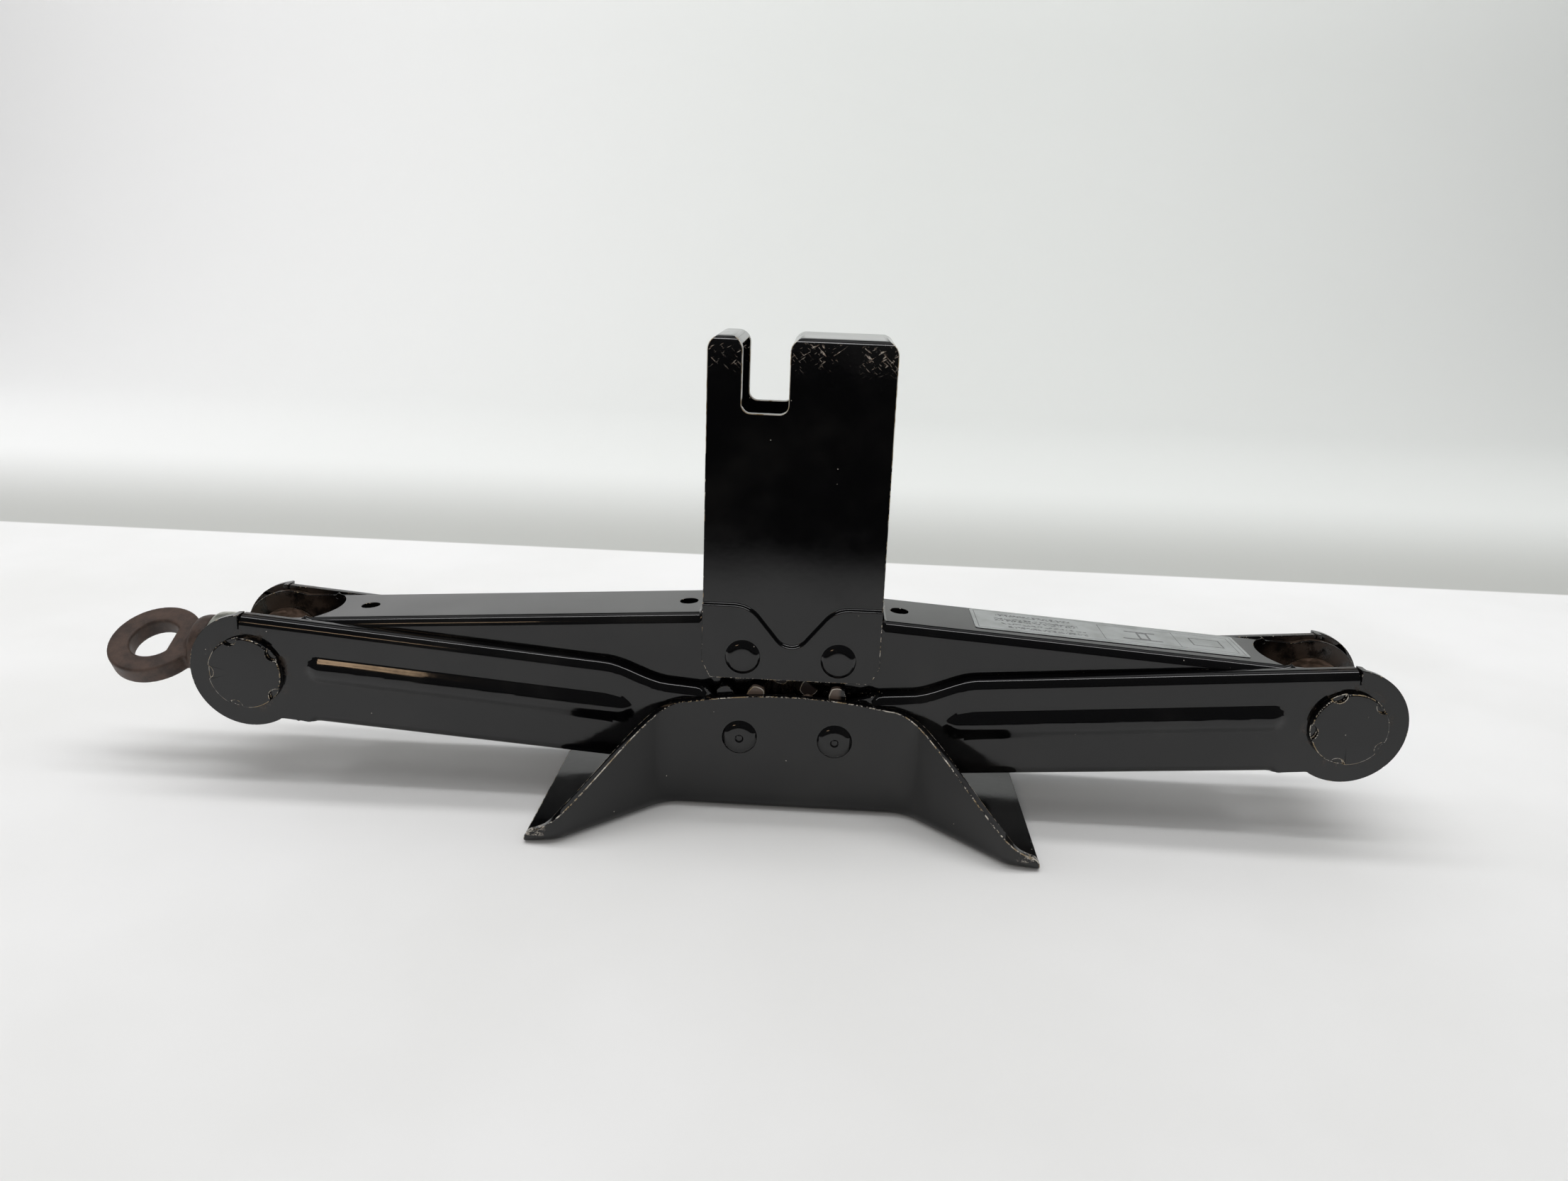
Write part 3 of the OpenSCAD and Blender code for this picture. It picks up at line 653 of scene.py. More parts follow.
# Upper arm, in its own frame: X along the arm from the gear pivot, Z towards the screw
UPPER_END_R = 18.7
UPPER_WEB = (14.0, 152.6)
WEB_CUT_R = 22.0
WEB_CUT_X = UPPER_WEB[1] - 5 + WEB_CUT_R
UPPER_INNER_H = 12.0


def upper_depth(u):
    return 14.2 + 2.7 * u / ARM_LEN


def upper_section(u):
    deeper = 12 * ease((UPPER_WEB[0] + 1 - u) / 9) + 14 * ease((u - UPPER_WEB[1]) / 10)
    bottom = -upper_depth(u) - deeper
    return rounded_path([(UPPER_OUT, 21, 0), (UPPER_OUT, bottom, 3.4), (0, bottom, 0)], [24, 8])


def upper_outline(side):
    teeth = gear_outline(LEFT_PHASE, 5) if side < 0 else gear_outline(RIGHT_PHASE, 4)
    if teeth[0][1] > teeth[-1][1]:
        teeth = teeth[::-1]
    spare = 1.6
    top = [(13.5, -upper_depth(13)), (UPPER_WEB[0] + 1, -upper_depth(14) - spare),
           (UPPER_WEB[1] + 0.5, -upper_depth(152) - spare), (UPPER_WEB[1] + 3, -upper_depth(155)),
           (ARM_LEN - 9, -upper_depth(165))]
    end = arc(ARM_LEN, 0, UPPER_END_R, 360 - 115.4, 360 + 90, 44)
    return top + end + [(ARM_LEN - 12, UPPER_INNER_H + 2.6), (ARM_LEN - 22, UPPER_INNER_H), (12, UPPER_INNER_H)] + teeth[::-1]


def upper_arm(side):
    name = "left_upper_arm" if side < 0 else "right_upper_arm"
    columns, u0, u1 = 110, -20.5, ARM_LEN + 20.5
    sections = []
    for i in range(columns + 1):
        u = u0 + (u1 - u0) * i / columns
        half = [(u, y, z) for y, z in upper_section(u)]
        sections.append(half + [(u, -y, z) for u, y, z in reversed(half[:-1])])
    piece = pressed_blank(name + "_pressing", columns, len(sections[0]) - 1, lambda i, j: sections[i][j],
                          ARM_SHEET, [UPPER_ENAMEL, UPPER_EDGE])
    cut(piece, prism(upper_outline(side), -40, 40), "INTERSECT")
    inside = UPPER_IN - 0.05
    reach = math.degrees(math.asin(inside / WEB_CUT_R))
    bite = arc(WEB_CUT_X, 0, WEB_CUT_R, 180 + reach, 180 - reach, 16)
    cut(piece, prism(bite + [(ARM_LEN + 40, inside), (ARM_LEN + 40, -inside)], -45, -2, "Z"))
    cut(piece, block(-30, UPPER_WEB[0], -inside, inside, -45, -2))
    cut(piece, rod(PIN_R + (RUNNING_FIT if side < 0 else LOOSE_FIT), 80))
    cut(piece, rod(JOURNAL_R + RUNNING_FIT, 80, (ARM_LEN, 0, 0)))
    for u in (20.0, ARM_LEN - 38):
        cut(piece, rod(3.25, 40, (u, 0, -20), "Z", 40))
    tidy_faces(piece)
    break_edges(piece)
    settle(piece, upper_place(side), name, [name])


def upper_place(side):
    c, s = math.cos(FOLD), math.sin(FOLD)
    return Matrix(((c * side, 0, -s * side, GEAR_R * side), (0, 1, 0, 0), (-s, 0, -c, SADDLE_PIVOT_Z), (0, 0, 0, 1)))


# ---------------------------------------------------------------- base

HALF_BASE = 84.5
HALF_FOOT = 57.0
WALL_TOP = 43.2


def wall_height(x):
    dome = WALL_TOP - 0.0029 * min(abs(x), 34) ** 2
    return dome - (dome - 4.0) * ease((abs(x) - 34) / (HALF_BASE + 1.5 - 34))


def base():
    """Half of the wall's plan is rounded at its two bends, mirrored, and the bottom spans between the walls."""
    half = rounded_path([(0, BASE_OUT, 0), (41.6, BASE_OUT, 13), (74.0, HALF_FOOT, 9), (HALF_BASE, HALF_FOOT, 0)],
                        [20, 26, 8], 12)
    plan = [Vector((-p.x, p.y)) for p in reversed(half[1:])] + half
    rows = []
    for i, p in enumerate(plan):
        along = (plan[min(i + 1, len(plan) - 1)] - plan[max(i - 1, 0)]).normalized()
        inward = Vector((along.y, -along.x))
        top = wall_height(p.x)
        bend = min(4.2, top * 0.62)
        line = [(p.x, p.y, top + (bend - top) * k / 2) for k in range(2)]
        for k in range(9):
            a = math.radians(90 * k / 8)
            q = p + inward * bend * (1 - math.cos(a))
            line.append((q.x, q.y, bend * (1 - math.sin(a))))
        foot = Vector(line[-1])
        line += [tuple(foot.lerp(Vector((p.x, 0, 0)), k / 3)) for k in range(1, 4)]
        rows.append(line + [(x, -y, z) for x, y, z in reversed(line[:-1])])
    piece = pressed_blank("base_pressing", len(rows) - 1, len(rows[0]) - 1, lambda i, j: rows[i][j],
                          BASE_SHEET, [BASE_ENAMEL, SPECKLED])
    nose = arc(HALF_BASE - 3.5, 1.3, 3.5, 90, 0, 8) + [(HALF_BASE + 2, 1.3), (HALF_BASE + 2, 9), (HALF_BASE - 3.5, 9)]
    for x in (-1, 1):
        cut(piece, rod(PIN_R + RUNNING_FIT, 80, (x * GEAR_R, 0, BASE_PIVOT_Z)))
        cut(piece, prism([(x * a, b) for a, b in nose], -80, 80))
    tidy_faces(piece)
    break_edges(piece, 0.28)
    settle(piece, None, "base", ["base"])


# ---------------------------------------------------------------- saddle

HALF_SADDLE = 30.7
SADDLE_H = 107.8
SADDLE_UNDER = 8.0
SADDLE_BEND_R = 4.3
SADDLE_CORNER_R = 4.5
SLOT = (-19.25, -3.95)
SLOT_DEPTH = 24.5
SLOT_CORNER_R = 3.0


def joggle_points():
    """The step between the upper plate and the lobes, seen from the side, left to right."""
    half = [(HALF_SADDLE + 1, 18.4)] + arc(GEAR_R + 3.4, 7.4, 11.0, 90, 143, 10) + arc(0, 10.5, 6.4, -37, -90, 8)
    return [(-x, z) for x, z in half] + [(x, z) for x, z in reversed(half[:-1])]


JOGGLE_LINE = joggle_points()


def joggle_at(x):
    """Height of the joggle line at x, and the cosine of its slope."""
    for (x0, z0), (x1, z1) in zip(JOGGLE_LINE, JOGGLE_LINE[1:]):
        if x0 <= x <= x1 and x1 > x0:
            return z0 + (z1 - z0) * (x - x0) / (x1 - x0), (x1 - x0) / math.hypot(x1 - x0, z1 - z0)
    return JOGGLE_LINE[0][1], 1.0


def saddle():
    """Inverted U with joggled lobes, slotted across its top. Its rows follow the joggle line."""
    columns = 120
    low, calm, band = -SADDLE_UNDER - 1.5, 30.0, 8
    top = rounded_path([(SADDLE_OUT, 0, 0), (SADDLE_OUT, SADDLE_H, SADDLE_BEND_R), (0, SADDLE_H, 0)], [1, 3], 10)[1:]

    def column(x):
        line, slope = joggle_at(x)
        wide = 0.55 / max(slope, 0.45)
        half = [(SADDLE_OUT + JOGGLE, low + (line - wide - low) * k / 3) for k in range(3)]
        half += [(SADDLE_OUT + JOGGLE * (1 - ease(k / band)), line - wide + 2 * wide * k / band) for k in range(band)]
        half += [(SADDLE_OUT, line + wide + (calm - line - wide) * k / 2) for k in range(2)]
        half += [(SADDLE_OUT, calm + (top[0].y - calm) * k / 3) for k in range(3)] + [tuple(p) for p in top]
        return [(x, y, z) for y, z in half] + [(x, -y, z) for y, z in reversed(half[:-1])]

    lines = [column(-HALF_SADDLE + 2 * HALF_SADDLE * i / columns) for i in range(columns + 1)]
    section = lines[0]

    def form(i, j):
        return lines[i][j]

    piece = pressed_blank("saddle_pressing", columns, len(section) - 1, form, SADDLE_SHEET, [SCUFFED, SADDLE_EDGE])
    c, r = SADDLE_CORNER_R, SLOT_CORNER_R
    side = [(-HALF_SADDLE - 1, 6 - SADDLE_UNDER), (-HALF_SADDLE - 0.002, 6 - SADDLE_UNDER), (-HALF_SADDLE + 3, -SADDLE_UNDER),
            (HALF_SADDLE - 3, -SADDLE_UNDER), (HALF_SADDLE + 0.002, 6 - SADDLE_UNDER), (HALF_SADDLE + 1, 6 - SADDLE_UNDER)]
    top = [(HALF_SADDLE + 1, SADDLE_H - c)] + arc(HALF_SADDLE - c, SADDLE_H - c, c, 0, 90)
    outline = side + top + [(-x, z) for x, z in reversed(top)]
    cut(piece, prism(outline, -40, 40), "INTERSECT")
    slot = arc(SLOT[0] + r, SADDLE_H - SLOT_DEPTH + r, r, 180, 270) + arc(SLOT[1] - r, SADDLE_H - SLOT_DEPTH + r, r, 270, 360)
    slot += arc(SLOT[1] + c, SADDLE_H - c, c, 180, 90) + [(SLOT[1] + c, SADDLE_H + 2), (SLOT[0] - c, SADDLE_H + 2)]
    slot += arc(SLOT[0] - c, SADDLE_H - c, c, 90, 0)
    cut(piece, prism(slot, -40, 40))
    for x in (-GEAR_R, GEAR_R):
        cut(piece, rod(PIN_R + RUNNING_FIT, 80, (x, 0, 0)))
    tidy_faces(piece)
    break_edges(piece)
    settle(piece, Matrix.Translation((0, 0, SADDLE_PIVOT_Z)), "saddle", ["saddle"])


# ---------------------------------------------------------------- pins and trunnions


def pivot_pin(name, x, z, face, body, dimple):
    """A pin with a head formed outside each plate; the press leaves its centre mark in some heads."""
    sink = 0.45 if dimple else 0
    rim = [(face, PIN_R - 0.2), (face, 6.1), (face + 0.15, 6.1), (face + 0.5, 5.8), (face + 0.8, 5.42), (face + 0.95, 5.2)]
    crown = [(face + 1.2, 4.7), (face + 1.38, 4.1), (face + 1.47, 3.4), (face + 1.5, 2.5), (face + 1.5, 1.5),
             (face + 1.5 - sink, 1.0), (face + 1.5 - sink * 0.7, 0.3), (face + 1.5 - sink * 0.7, 0)]
    half = [(0, PIN_R - 0.001), (face - 0.4, PIN_R - 0.001)] + rim + crown
    profile = [(-a, r) for a, r in reversed(half)] + half[1:]
    piece = turned(name + "_formed", profile, [ENAMEL, WORN])
    settle(piece, Matrix.Translation((x, 0, z)), body, [name], smooth=35)


def trunnion(name, x, phase, bore_r, flat_x, body):
    """Barrel, journals and staked heads, turned from bar, cross-bored for the screw."""
    barrel_half, head_face, head_r, head_h = UPPER_IN - 0.1, LOWER_OUT + 0.1, 13.0, 2.7
    half = [(0, 12.5), (barrel_half - 0.8, 12.5), (barrel_half, 11.7), (barrel_half, JOURNAL_R),
            (head_face, JOURNAL_R), (head_face, head_r - 0.2), (head_face + 0.3, head_r),
            (head_face + head_h - 0.7, head_r), (head_face + head_h - 0.25, head_r - 0.2),
            (head_face + head_h, head_r - 0.7), (head_face + head_h, 6), (head_face + head_h, 0)]
    profile = [(-a, r) for a, r in reversed(half)] + half[1:]
    piece = turned(name + "_turned", profile, [TRUNNION, SPECKLED], steps=96)
    for index, face in enumerate(piece.data.polygons):
        face.material_index = FACE
    for k in range(5):
        a = math.radians(phase + 72 * k)
        at = Vector(((head_r + 0.5) * math.cos(a), 0, (head_r + 0.5) * math.sin(a)))
        for s in (-1, 1):
            middle = at + Vector((0, s * (head_face + head_h / 2 + 2), 0))
            cut(piece, rod(2.7, 4, middle, "Y", 24))
    cut(piece, rod(bore_r, 80, (0, 0, 0), "X"))
    if flat_x:
        cut(piece, block(-40, flat_x, -UPPER_IN, UPPER_IN, -20, 20))
    break_edges(piece, 0.22, 2, 35)
    piece.data.materials[0] = TRUNNION
    settle(piece, Matrix.Translation((x, 0, SCREW_Z)), body, [name])
    # The heads are painted with the arms; the barrel between them isn't
    piece.data.materials.append(ENAMEL)
    for face in piece.data.polygons:
        if abs(face.center.y) > head_face / 1000 and face.material_index == FACE:
            face.material_index = 2


def washers(name, x, z, y0, y1, bore, rim, body):
    """A pair of plain washers with broken edges, joined as one piece."""
    made = []
    for s in (-1, 1):
        a, b, r0, r1 = y0 + 0.1, y1 - 0.1, bore + RUNNING_FIT, bore + rim
        loop = [(a, r0 + 0.2), (a, r1 - 0.3), (a + 0.3, r1), (b - 0.3, r1), (b, r1 - 0.3), (b, r0 + 0.2),
                (b - 0.2, r0), (a + 0.2, r0), (a, r0 + 0.2)]
        made.append(turned(name + "_turned", [(s * p, r) for p, r in loop], [STEEL], steps=48))
    bpy.ops.object.select_all(action="DESELECT")
    for piece in made:
        piece.select_set(True)
    bpy.context.view_layer.objects.active = made[0]
    bpy.ops.object.join()
    settle(made[0], Matrix.Translation((x, 0, z)), body, [name])


# ---------------------------------------------------------------- screw, eye and thrust bearing

SCREW_R = 6.5
SHELL_FACE_X = -TRUNNION_X - 11.0
SHELL_LEN = 11.0
SHELL_R = 13.4
COLLAR_FACE_X = SHELL_FACE_X - SHELL_LEN - 0.1
COLLAR_LEN = 7.0
COLLAR_R = 12.0
EYE_R = 16.3
EYE_HOLE_R = 8.7
EYE_T = 7.0
EYE_TURN = math.radians(62)
EYE_X = COLLAR_FACE_X - COLLAR_LEN - EYE_R + 0.4
SCREW_END_X = TRUNNION_X + 18.5
PITCH = 3.0
THREAD_DEPTH = 1.35


def drive_screw():
    """A plain shank through the bearing, then a rolled trapezoidal thread to the far end."""
    around, step = 36, 0.375
    thread_start = -TRUNNION_X + 16
    count = round((SCREW_END_X - COLLAR_FACE_X) / step)
    bpy.ops.mesh.primitive_grid_add(x_subdivisions=count, y_subdivisions=around, size=2)
    piece = bpy.context.object
    piece.name = "drive_screw_threaded"
    for vertex in piece.data.vertices:
        i = round((vertex.co.x + 1) / 2 * count)
        turn = round((vertex.co.y + 1) / 2 * around) / around
        x = COLLAR_FACE_X + (SCREW_END_X - COLLAR_FACE_X) * i / count
        phase = ((x - turn * PITCH) / PITCH) % 1.0
        crest = min(1.0, max(0.0, (abs(phase - 0.5) - 0.14) / 0.2))
        fade = ease((x - thread_start) / 5)
        r = SCREW_R - THREAD_DEPTH * fade * crest
        r -= 1.2 * max(0.0, 1 - (SCREW_END_X - x) / 1.6)
        if i in (0, count):
            r = 0.0
        a = math.tau * turn
        vertex.co = (x, r * math.cos(a), r * math.sin(a))
    dress(piece, THREAD, WORN)
    close_up(piece)
    stop_x = SCREW_END_X - 4.0
    cut(piece, rod(1.6, 30, (stop_x, 0, 0), "Z", 32))
    settle(piece, Matrix.Translation((0, 0, SCREW_Z)), "drive_screw", ["drive_screw"], smooth=40)


def stop_pin():
    """A short spring pin through the screw's end."""
    half = 8.5
    profile = [(-half, 0), (-half, 1.1), (-half + 0.5, 1.6), (half - 0.5, 1.6), (half, 1.1), (half, 0)]
    piece = turned("screw_stop_pin_turned", profile, [STEEL], steps=32)
    place = Matrix.Translation((SCREW_END_X - 4.0, 0, SCREW_Z)) @ Matrix.Rotation(math.pi / 2, 4, "X")
    settle(piece, place, "drive_screw", ["screw_stop_pin"])


def forged_eye():
    """Ring, neck and collar are forged in one, so their joins are soft and slightly uneven."""
    soft, half_t = 0.8, EYE_T / 2
    loop = arc(half_t - soft, EYE_R - soft, soft, 0, 90, 4) + arc(soft - half_t, EYE_R - soft, soft, 90, 180, 4)
    loop += arc(soft - half_t, EYE_HOLE_R + soft, soft, 180, 270, 4) + arc(half_t - soft, EYE_HOLE_R + soft, soft, 270, 360, 4)
    piece = turned("screw_eye_forged", loop + [loop[0]], [FORGING], steps=96)
    lean = Matrix.Rotation(-EYE_TURN, 4, "X")
    piece.data.transform(Matrix.Translation((EYE_X, 0, 0)) @ lean)
    neck_end = COLLAR_FACE_X - COLLAR_LEN
    neck = [(neck_end - 6.2, 0), (neck_end - 6.2, 2.4), (neck_end - 3.5, 4.2), (neck_end - 1.2, 6.2), (neck_end - 0.2, 8.4),
            (neck_end + 0.5, 10.2), (neck_end + 1.8, 11.5), (neck_end + 3.6, COLLAR_R), (COLLAR_FACE_X - 0.6, COLLAR_R),
            (COLLAR_FACE_X, COLLAR_R - 0.6), (COLLAR_FACE_X, 0)]
    collar = turned("collar", neck, [FORGING], axis="X", steps=64)
    apply_modifier(piece, "BOOLEAN", object=collar, operation="UNION", solver="MANIFOLD")
    bpy.data.objects.remove(collar)
    # Cheeks that widen the ring's edge into the neck
    cheeks = prism([(neck_end - 9.0, -6.8), (neck_end + 0.4, -8.6), (neck_end + 0.4, 8.6), (neck_end - 9.0, 6.8)],
                   -half_t + 0.15, half_t - 0.15)
    cheeks.data.transform(lean)
    apply_modifier(piece, "BOOLEAN", object=cheeks, operation="UNION", solver="MANIFOLD")
    bpy.data.objects.remove(cheeks)
    apply_modifier(piece, "REMESH", mode="VOXEL", voxel_size=0.38)
    apply_modifier(piece, "SMOOTH", factor=0.5, iterations=5)
    dress(piece, FORGING)
    settle(piece, Matrix.Translation((0, 0, SCREW_Z)), "drive_screw", ["screw_eye"], smooth=60, even=False)


def thrust_bearing():
    """A drawn shell, rolled over at both ends round a bronze ring."""
    a, b, r, wall, mouth = SHELL_FACE_X - SHELL_LEN, SHELL_FACE_X, SHELL_R, 1.5, SCREW_R + LOOSE_FIT
    outer = [(a, mouth), (a, r - 2.2)] + [(a + 2.2 - 2.2 * math.cos(math.radians(t)), r - 2.2 + 2.2 * math.sin(math.radians(t)))
                                          for t in range(15, 91, 15)]
    outer += [(b - 1.6 + 1.6 * math.sin(math.radians(t)), r - 1.6 + 1.6 * math.cos(math.radians(t))) for t in range(0, 91, 15)]
    inner = [(b, mouth), (b - wall, mouth), (b - wall, r - wall - 0.4), (b - wall - 0.4, r - wall), (a + wall + 0.9, r - wall),
             (a + wall, r - wall - 0.9), (a + wall, mouth), (a, mouth)]
    piece = turned("thrust_shell_drawn", outer + inner, [ZINC], axis="X", steps=80)
    settle(piece, Matrix.Translation((0, 0, SCREW_Z)), "bearing_trunnion", ["thrust_shell"])


# ---------------------------------------------------------------- rating label

LABEL_LEN, LABEL_W, LABEL_T = 96.0, 22.0, 0.28
LABEL_SHIFT = 1.2


def label_foil(name="label_foil"):
    """Printed aluminium foil: satin silver with dark ruled lines and frames, no lettering."""
    material, tree, shader, _ = new_finish(name)
    spot = add(tree, "ShaderNodeUVMap", uv_map="UVMap").outputs[0]
    split = add(tree, "ShaderNodeSeparateXYZ", {"Vector": spot})
    u, v = split.outputs["X"], split.outputs["Y"]

    def frame_line(x0, x1, y0, y1, wide):
        """A rectangle's outline, wide mm thick: inside the outer box and outside the inner one."""
        dx = both(tree, add(tree, "ShaderNodeMath", {0: both(tree, u, (x0 + x1) / 2, "SUBTRACT")}, operation="ABSOLUTE").outputs[0],
                  (x1 - x0) / 2, "SUBTRACT")
        dy = both(tree, add(tree, "ShaderNodeMath", {0: both(tree, v, (y0 + y1) / 2, "SUBTRACT")}, operation="ABSOLUTE").outputs[0],
                  (y1 - y0) / 2, "SUBTRACT")
        edge = both(tree, dx, dy, "MAXIMUM")
        inside = both(tree, edge, 0.0, "LESS_THAN")
        return both(tree, inside, both(tree, edge, -wide, "GREATER_THAN"))

    ink = frame_line(1.2, 94.8, 1.2, 20.8, 0.25)
    for x0, x1, y0, y1, wide in LABEL_FRAMES:
        ink = both(tree, ink, frame_line(x0, x1, y0, y1, wide), "MAXIMUM")
    # Rows of print, broken into random dashes
    rows = 0.0
    for x0, x1, y0, y1, wide in LABEL_ROWS:
        rows = both(tree, rows, frame_line(x0, x1, y0, y1, wide), "MAXIMUM")
    dashes = add(tree, "ShaderNodeMapping", {"Vector": spot, "Scale": (0.9, 0.9, 0.0)})
    dashes = add(tree, "ShaderNodeTexNoise", {"Vector": dashes.outputs[0], "Scale": 1.0, "Detail": 1.0}).outputs["Fac"]
    ink = both(tree, ink, both(tree, rows, between(tree, dashes, 0.48, 0.54)), "MAXIMUM")
    fade = between(tree, add(tree, "ShaderNodeTexNoise", {"Vector": spot, "Scale": 1.6, "Detail": 4.0}).outputs["Fac"], 0.3, 0.7, 0.55, 0.95)
    foil = tint(tree, between(tree, add(tree, "ShaderNodeTexNoise", {"Vector": spot, "Scale": 0.12, "Detail": 3.0}).outputs["Fac"], 0.4, 0.7),
                linear("#c3c6c6"), linear("#aeb1b0"))
    tree.links.new(tint(tree, both(tree, ink, fade), foil, linear("#2b2b2e")), shader.inputs["Base Color"])
    tree.links.new(between(tree, ink, 0.0, 1.0, 0.36, 0.55), shader.inputs["Roughness"])
    tree.links.new(between(tree, ink, 0.0, 1.0, 0.75, 0.0), shader.inputs["Metallic"])
    return material


# Frames and rows of print on the label, in mm from its corner: left, right, low, high, line width
LABEL_FRAMES = [(46, 93, 3.0, 19.0, 0.25), (46, 73, 3.0, 19.0, 0.25), (53, 67, 6.0, 7.0, 1.0), (59, 63, 7.0, 14.0, 0.8),
                (55, 66, 14.0, 15.0, 1.0), (78, 89, 7.0, 15.0, 0.5)]
LABEL_ROWS = [(12, 40, 3.4, 5.4, 2.0), (10, 40, 7.0, 8.6, 1.6), (8, 38, 10.4, 14.0, 3.6), (9, 36, 16.0, 18.4, 2.4)]


def rating_label():
    r = 1.2
    outline = arc(r, r, r, 180, 270, 4) + arc(LABEL_LEN - r, r, r, 270, 360, 4)
    outline += arc(LABEL_LEN - r, LABEL_W - r, r, 0, 90, 4) + arc(r, LABEL_W - r, r, 90, 180, 4)
    piece = prism(outline, -LABEL_T, -0.01, "Z", "rating_label_foil")
    dress(piece, label_foil())
    apply_modifier(piece, "BEVEL", width=0.08, segments=1, limit_method="ANGLE", angle_limit=math.radians(50))
    sheet = piece.data.uv_layers.new(name="UVMap") if not piece.data.uv_layers else piece.data.uv_layers[0]
    sheet.name = "UVMap"
    for loop in piece.data.loops:
        place = piece.data.vertices[loop.vertex_index].co
        sheet.data[loop.index].uv = (place.x, place.y)
    label_u = UPPER_WEB[1] - 5 - 5.4 - LABEL_LEN
    tilt = math.atan(2.7 / ARM_LEN)
    place = upper_place(1) @ Matrix.Translation((label_u, LABEL_SHIFT - LABEL_W / 2, -upper_depth(label_u)))
    place = place @ Matrix.Rotation(tilt, 4, "Y")
    settle(piece, place, "right_upper_arm", ["rating_label"])


# ---------------------------------------------------------------- stage


FLOOR_BACK = 0.32
WALL_Y = 1.5
SWEEP_R = 0.5


def stage_paint(name="stage_paint"):
    """Matt pale paint: a lighter floor, and a greyer wall from the line where the floor ends, with painted light and
    shade on the wall: lighter to the left, and painted shade deepening down the sweep into the crease with the floor.
    """
    material, tree, shader, where = new_finish(name)
    split = add(tree, "ShaderNodeSeparateXYZ", {"Vector": where})
    across, depth, height = split.outputs["X"], split.outputs["Y"], split.outputs["Z"]
    cloud = between(tree, grain(tree, where, 260.0, 4.0, 0.55), 0.35, 0.68)
    floor = tint(tree, cloud, linear("#ececec"), linear("#e4e4e3"))
    # Painted light: the wall is lighter to the left and greyer to the right
    wall = tint(tree, between(tree, across, -1.2, 0.2), linear("#f4f4f4"), linear("#dfe1df"))
    # Painted shade: the wall darkens down the sweep towards the crease where it meets the floor
    wall = tint(tree, between(tree, depth, 0.60, FLOOR_BACK, 0.0, 0.8), wall, linear("#a9aaa6"))
    colour = tint(tree, between(tree, depth, FLOOR_BACK - 0.002, FLOOR_BACK + 0.002), floor, wall)
    # Painted reflection: in glossy rays only, the floor towards the front and the wall high up are painted near black,
    # so the enamel mirrors a dark room round the small stage
    mirrored = add(tree, "ShaderNodeLightPath").outputs["Is Glossy Ray"]
    painted_dark_room = both(tree, between(tree, depth, -0.25, -0.42), between(tree, height, 0.62, 1.1), "MAXIMUM")
    colour = tint(tree, both(tree, mirrored, painted_dark_room), colour, linear("#141414"))
    tree.links.new(colour, shader.inputs["Base Color"])
    shader.inputs["Roughness"].default_value = 0.75
    shader.inputs["Specular IOR Level"].default_value = 0.25
    return material


def stage():
    """A pale floor that sweeps up into a wall, in one sheet."""
    profile = [(-1.8, 0.0), (FLOOR_BACK, 0.0)] + arc(WALL_Y - SWEEP_R, SWEEP_R, SWEEP_R, 270, 360, 24) + [(WALL_Y, 2.0)]
    rows = len(profile) - 1
    bpy.ops.mesh.primitive_grid_add(x_subdivisions=1, y_subdivisions=rows, size=2)
    piece = bpy.context.object
    piece.name = "stage_sweep"
    for vertex in piece.data.vertices:
        y, z = profile[round((vertex.co.y + 1) / 2 * rows)]
        vertex.co = (vertex.co.x * 1.8, y, z)
    piece.data.update()
    bpy.ops.object.shade_smooth()
    piece.data.materials.append(stage_paint())


def light(name, at, aim, size, power, colour="#ffffff", mirrored=False):
    bpy.ops.object.light_add(type="AREA", location=at)
    lamp = bpy.context.object
    lamp.name = name
    lamp.data.shape = "RECTANGLE"
    lamp.data.size, lamp.data.size_y = size
    lamp.data.energy = power
    lamp.data.color = linear(colour)[:3]
    lamp.rotation_euler = (Vector(aim) - Vector(at)).to_track_quat("-Z", "Y").to_euler()
    lamp.visible_glossy = mirrored
    lamp.visible_camera = False


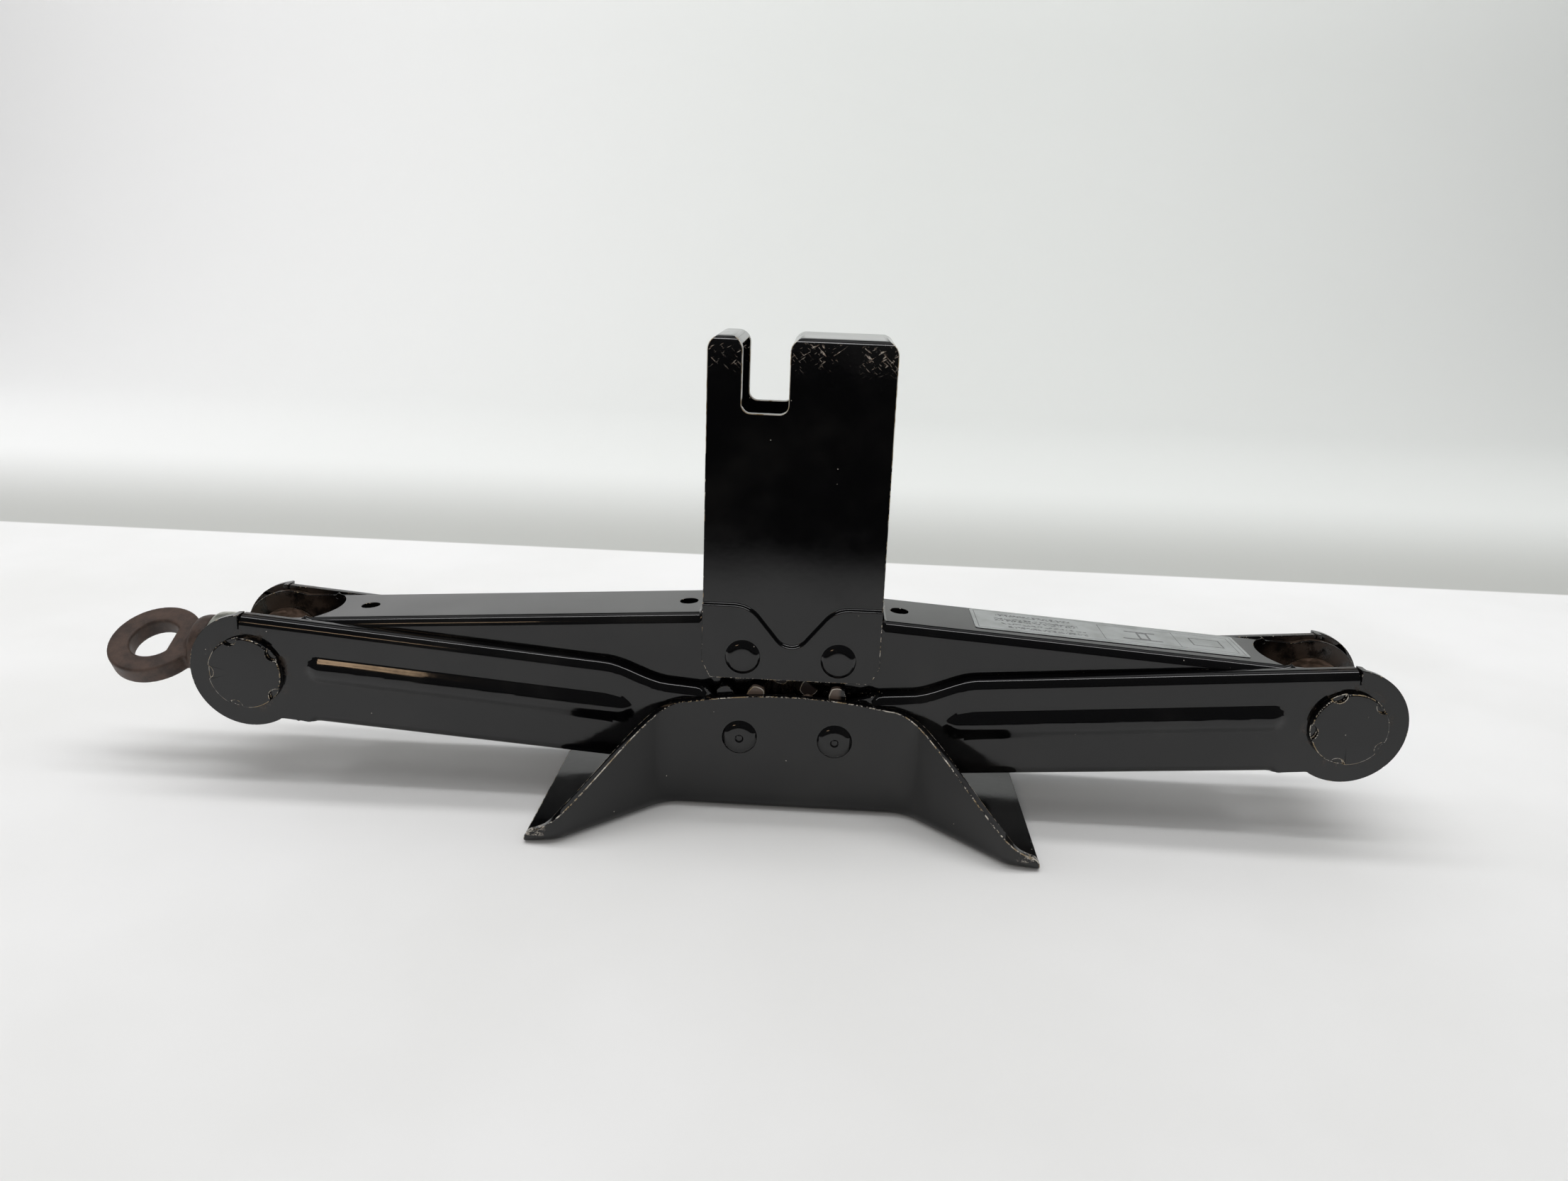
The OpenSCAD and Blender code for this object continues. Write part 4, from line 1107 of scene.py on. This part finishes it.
def lights():
    """Broad soft light all round, and two small lamps whose images show in the enamel."""
    light("softbox_above", (0.05, -0.1, 1.25), (0, 0.0, 0), (2.2, 0.9), 3.6)
    light("softbox_front", (0.0, -1.35, 0.75), (0, 0, 0.1), (2.4, 0.9), 6.6)
    light("wall_wash", (-0.2, 0.4, 1.5), (-0.2, WALL_Y, 0.5), (3.5, 0.4), 25.0)
    light("softbox_left", (-1.3, 0.0, 0.6), (0, 0, 0.05), (0.9, 0.8), 3.0)
    light("softbox_right", (1.3, 0.0, 0.6), (0, 0, 0.05), (0.9, 0.8), 1.7)
    light("tube_above", (0.0, -0.05, 1.2), (0, 0.0, 0), (1.6, 0.09), 3.6, mirrored=True)
    light("warm_lamp", (-0.65, -1.23, 0.73), (-0.15, 0, 0.05), (0.24, 0.1), 0.55, "#ffd9b0", mirrored=True)
    world = bpy.data.worlds.new("room")
    bpy.context.scene.world = world
    world.use_nodes = True
    tree = world.node_tree
    tree.nodes.clear()
    way = add(tree, "ShaderNodeTexCoord").outputs["Generated"]
    split = add(tree, "ShaderNodeSeparateXYZ", {"Vector": way})
    # The room is dark in front and light behind, but plain and pale where it is looked at directly
    room = between(tree, split.outputs["Y"], -0.1, 0.5, 0.07, 0.6)
    seen = add(tree, "ShaderNodeLightPath").outputs["Is Camera Ray"]
    strength = between(tree, both(tree, seen, 1.0), 0.0, 1.0, room, 0.7)
    sky = add(tree, "ShaderNodeBackground", {"Color": linear("#f6f7f8"), "Strength": strength})
    output = add(tree, "ShaderNodeOutputWorld")
    tree.links.new(sky.outputs[0], output.inputs["Surface"])


def camera():
    """Eye level a little above the saddle, looking slightly down and with a slight roll."""
    focal_share = 1595.5 / 2212
    bpy.ops.object.camera_add()
    eye = bpy.context.object
    eye.data.sensor_width = 36
    eye.data.sensor_fit = "HORIZONTAL"
    eye.data.lens = 36 * focal_share
    eye.data.clip_start = 0.01
    right = Vector((0.99833, 0.04451, 0.03679))
    up = Vector((-0.04798, 0.28462, 0.95744))
    toward = Vector((-0.03215, 0.95761, -0.28628))
    turn = Matrix((right, up, -toward)).transposed().to_4x4()
    eye.matrix_world = Matrix.Translation((0.00916, -0.38587, 0.18923)) @ turn
    bpy.context.scene.camera = eye


# ---------------------------------------------------------------- the jack

base()
for side in (-1, 1):
    lower_arm(side)
    upper_arm(side)
saddle()
pivot_pin("left_base_pin", -GEAR_R, BASE_PIVOT_Z, BASE_OUT, "base", True)
pivot_pin("right_base_pin", GEAR_R, BASE_PIVOT_Z, BASE_OUT, "base", True)
pivot_pin("left_saddle_pin", -GEAR_R, SADDLE_PIVOT_Z, LOBE_OUT, "saddle", False)
pivot_pin("right_saddle_pin", GEAR_R, SADDLE_PIVOT_Z, LOBE_OUT, "saddle", False)
trunnion("bearing_trunnion", -TRUNNION_X, 36, SCREW_R + RUNNING_FIT, -11.0, "bearing_trunnion")
trunnion("nut_trunnion", TRUNNION_X, 43, SCREW_R + LOOSE_FIT, None, "nut_trunnion")
for side, x in (("left", -1), ("right", 1)):
    washers(side + "_saddle_washers", x * GEAR_R, SADDLE_PIVOT_Z, UPPER_OUT, LOBE_IN, PIN_R, 3.3, "saddle")
washers("left_trunnion_washers", -TRUNNION_X, SCREW_Z, UPPER_OUT, LOWER_IN, JOURNAL_R, 5.0, "bearing_trunnion")
washers("right_trunnion_washers", TRUNNION_X, SCREW_Z, UPPER_OUT, LOWER_IN, JOURNAL_R, 5.0, "nut_trunnion")
drive_screw()
stop_pin()
forged_eye()
thrust_bearing()
rating_label()
ring = frame["nodes"]["thrust_ring"]
ring.data.materials.clear()
ring.data.materials.append(BRONZE)

stage()
lights()
camera()
bpy.context.scene.view_settings.view_transform = "Standard"
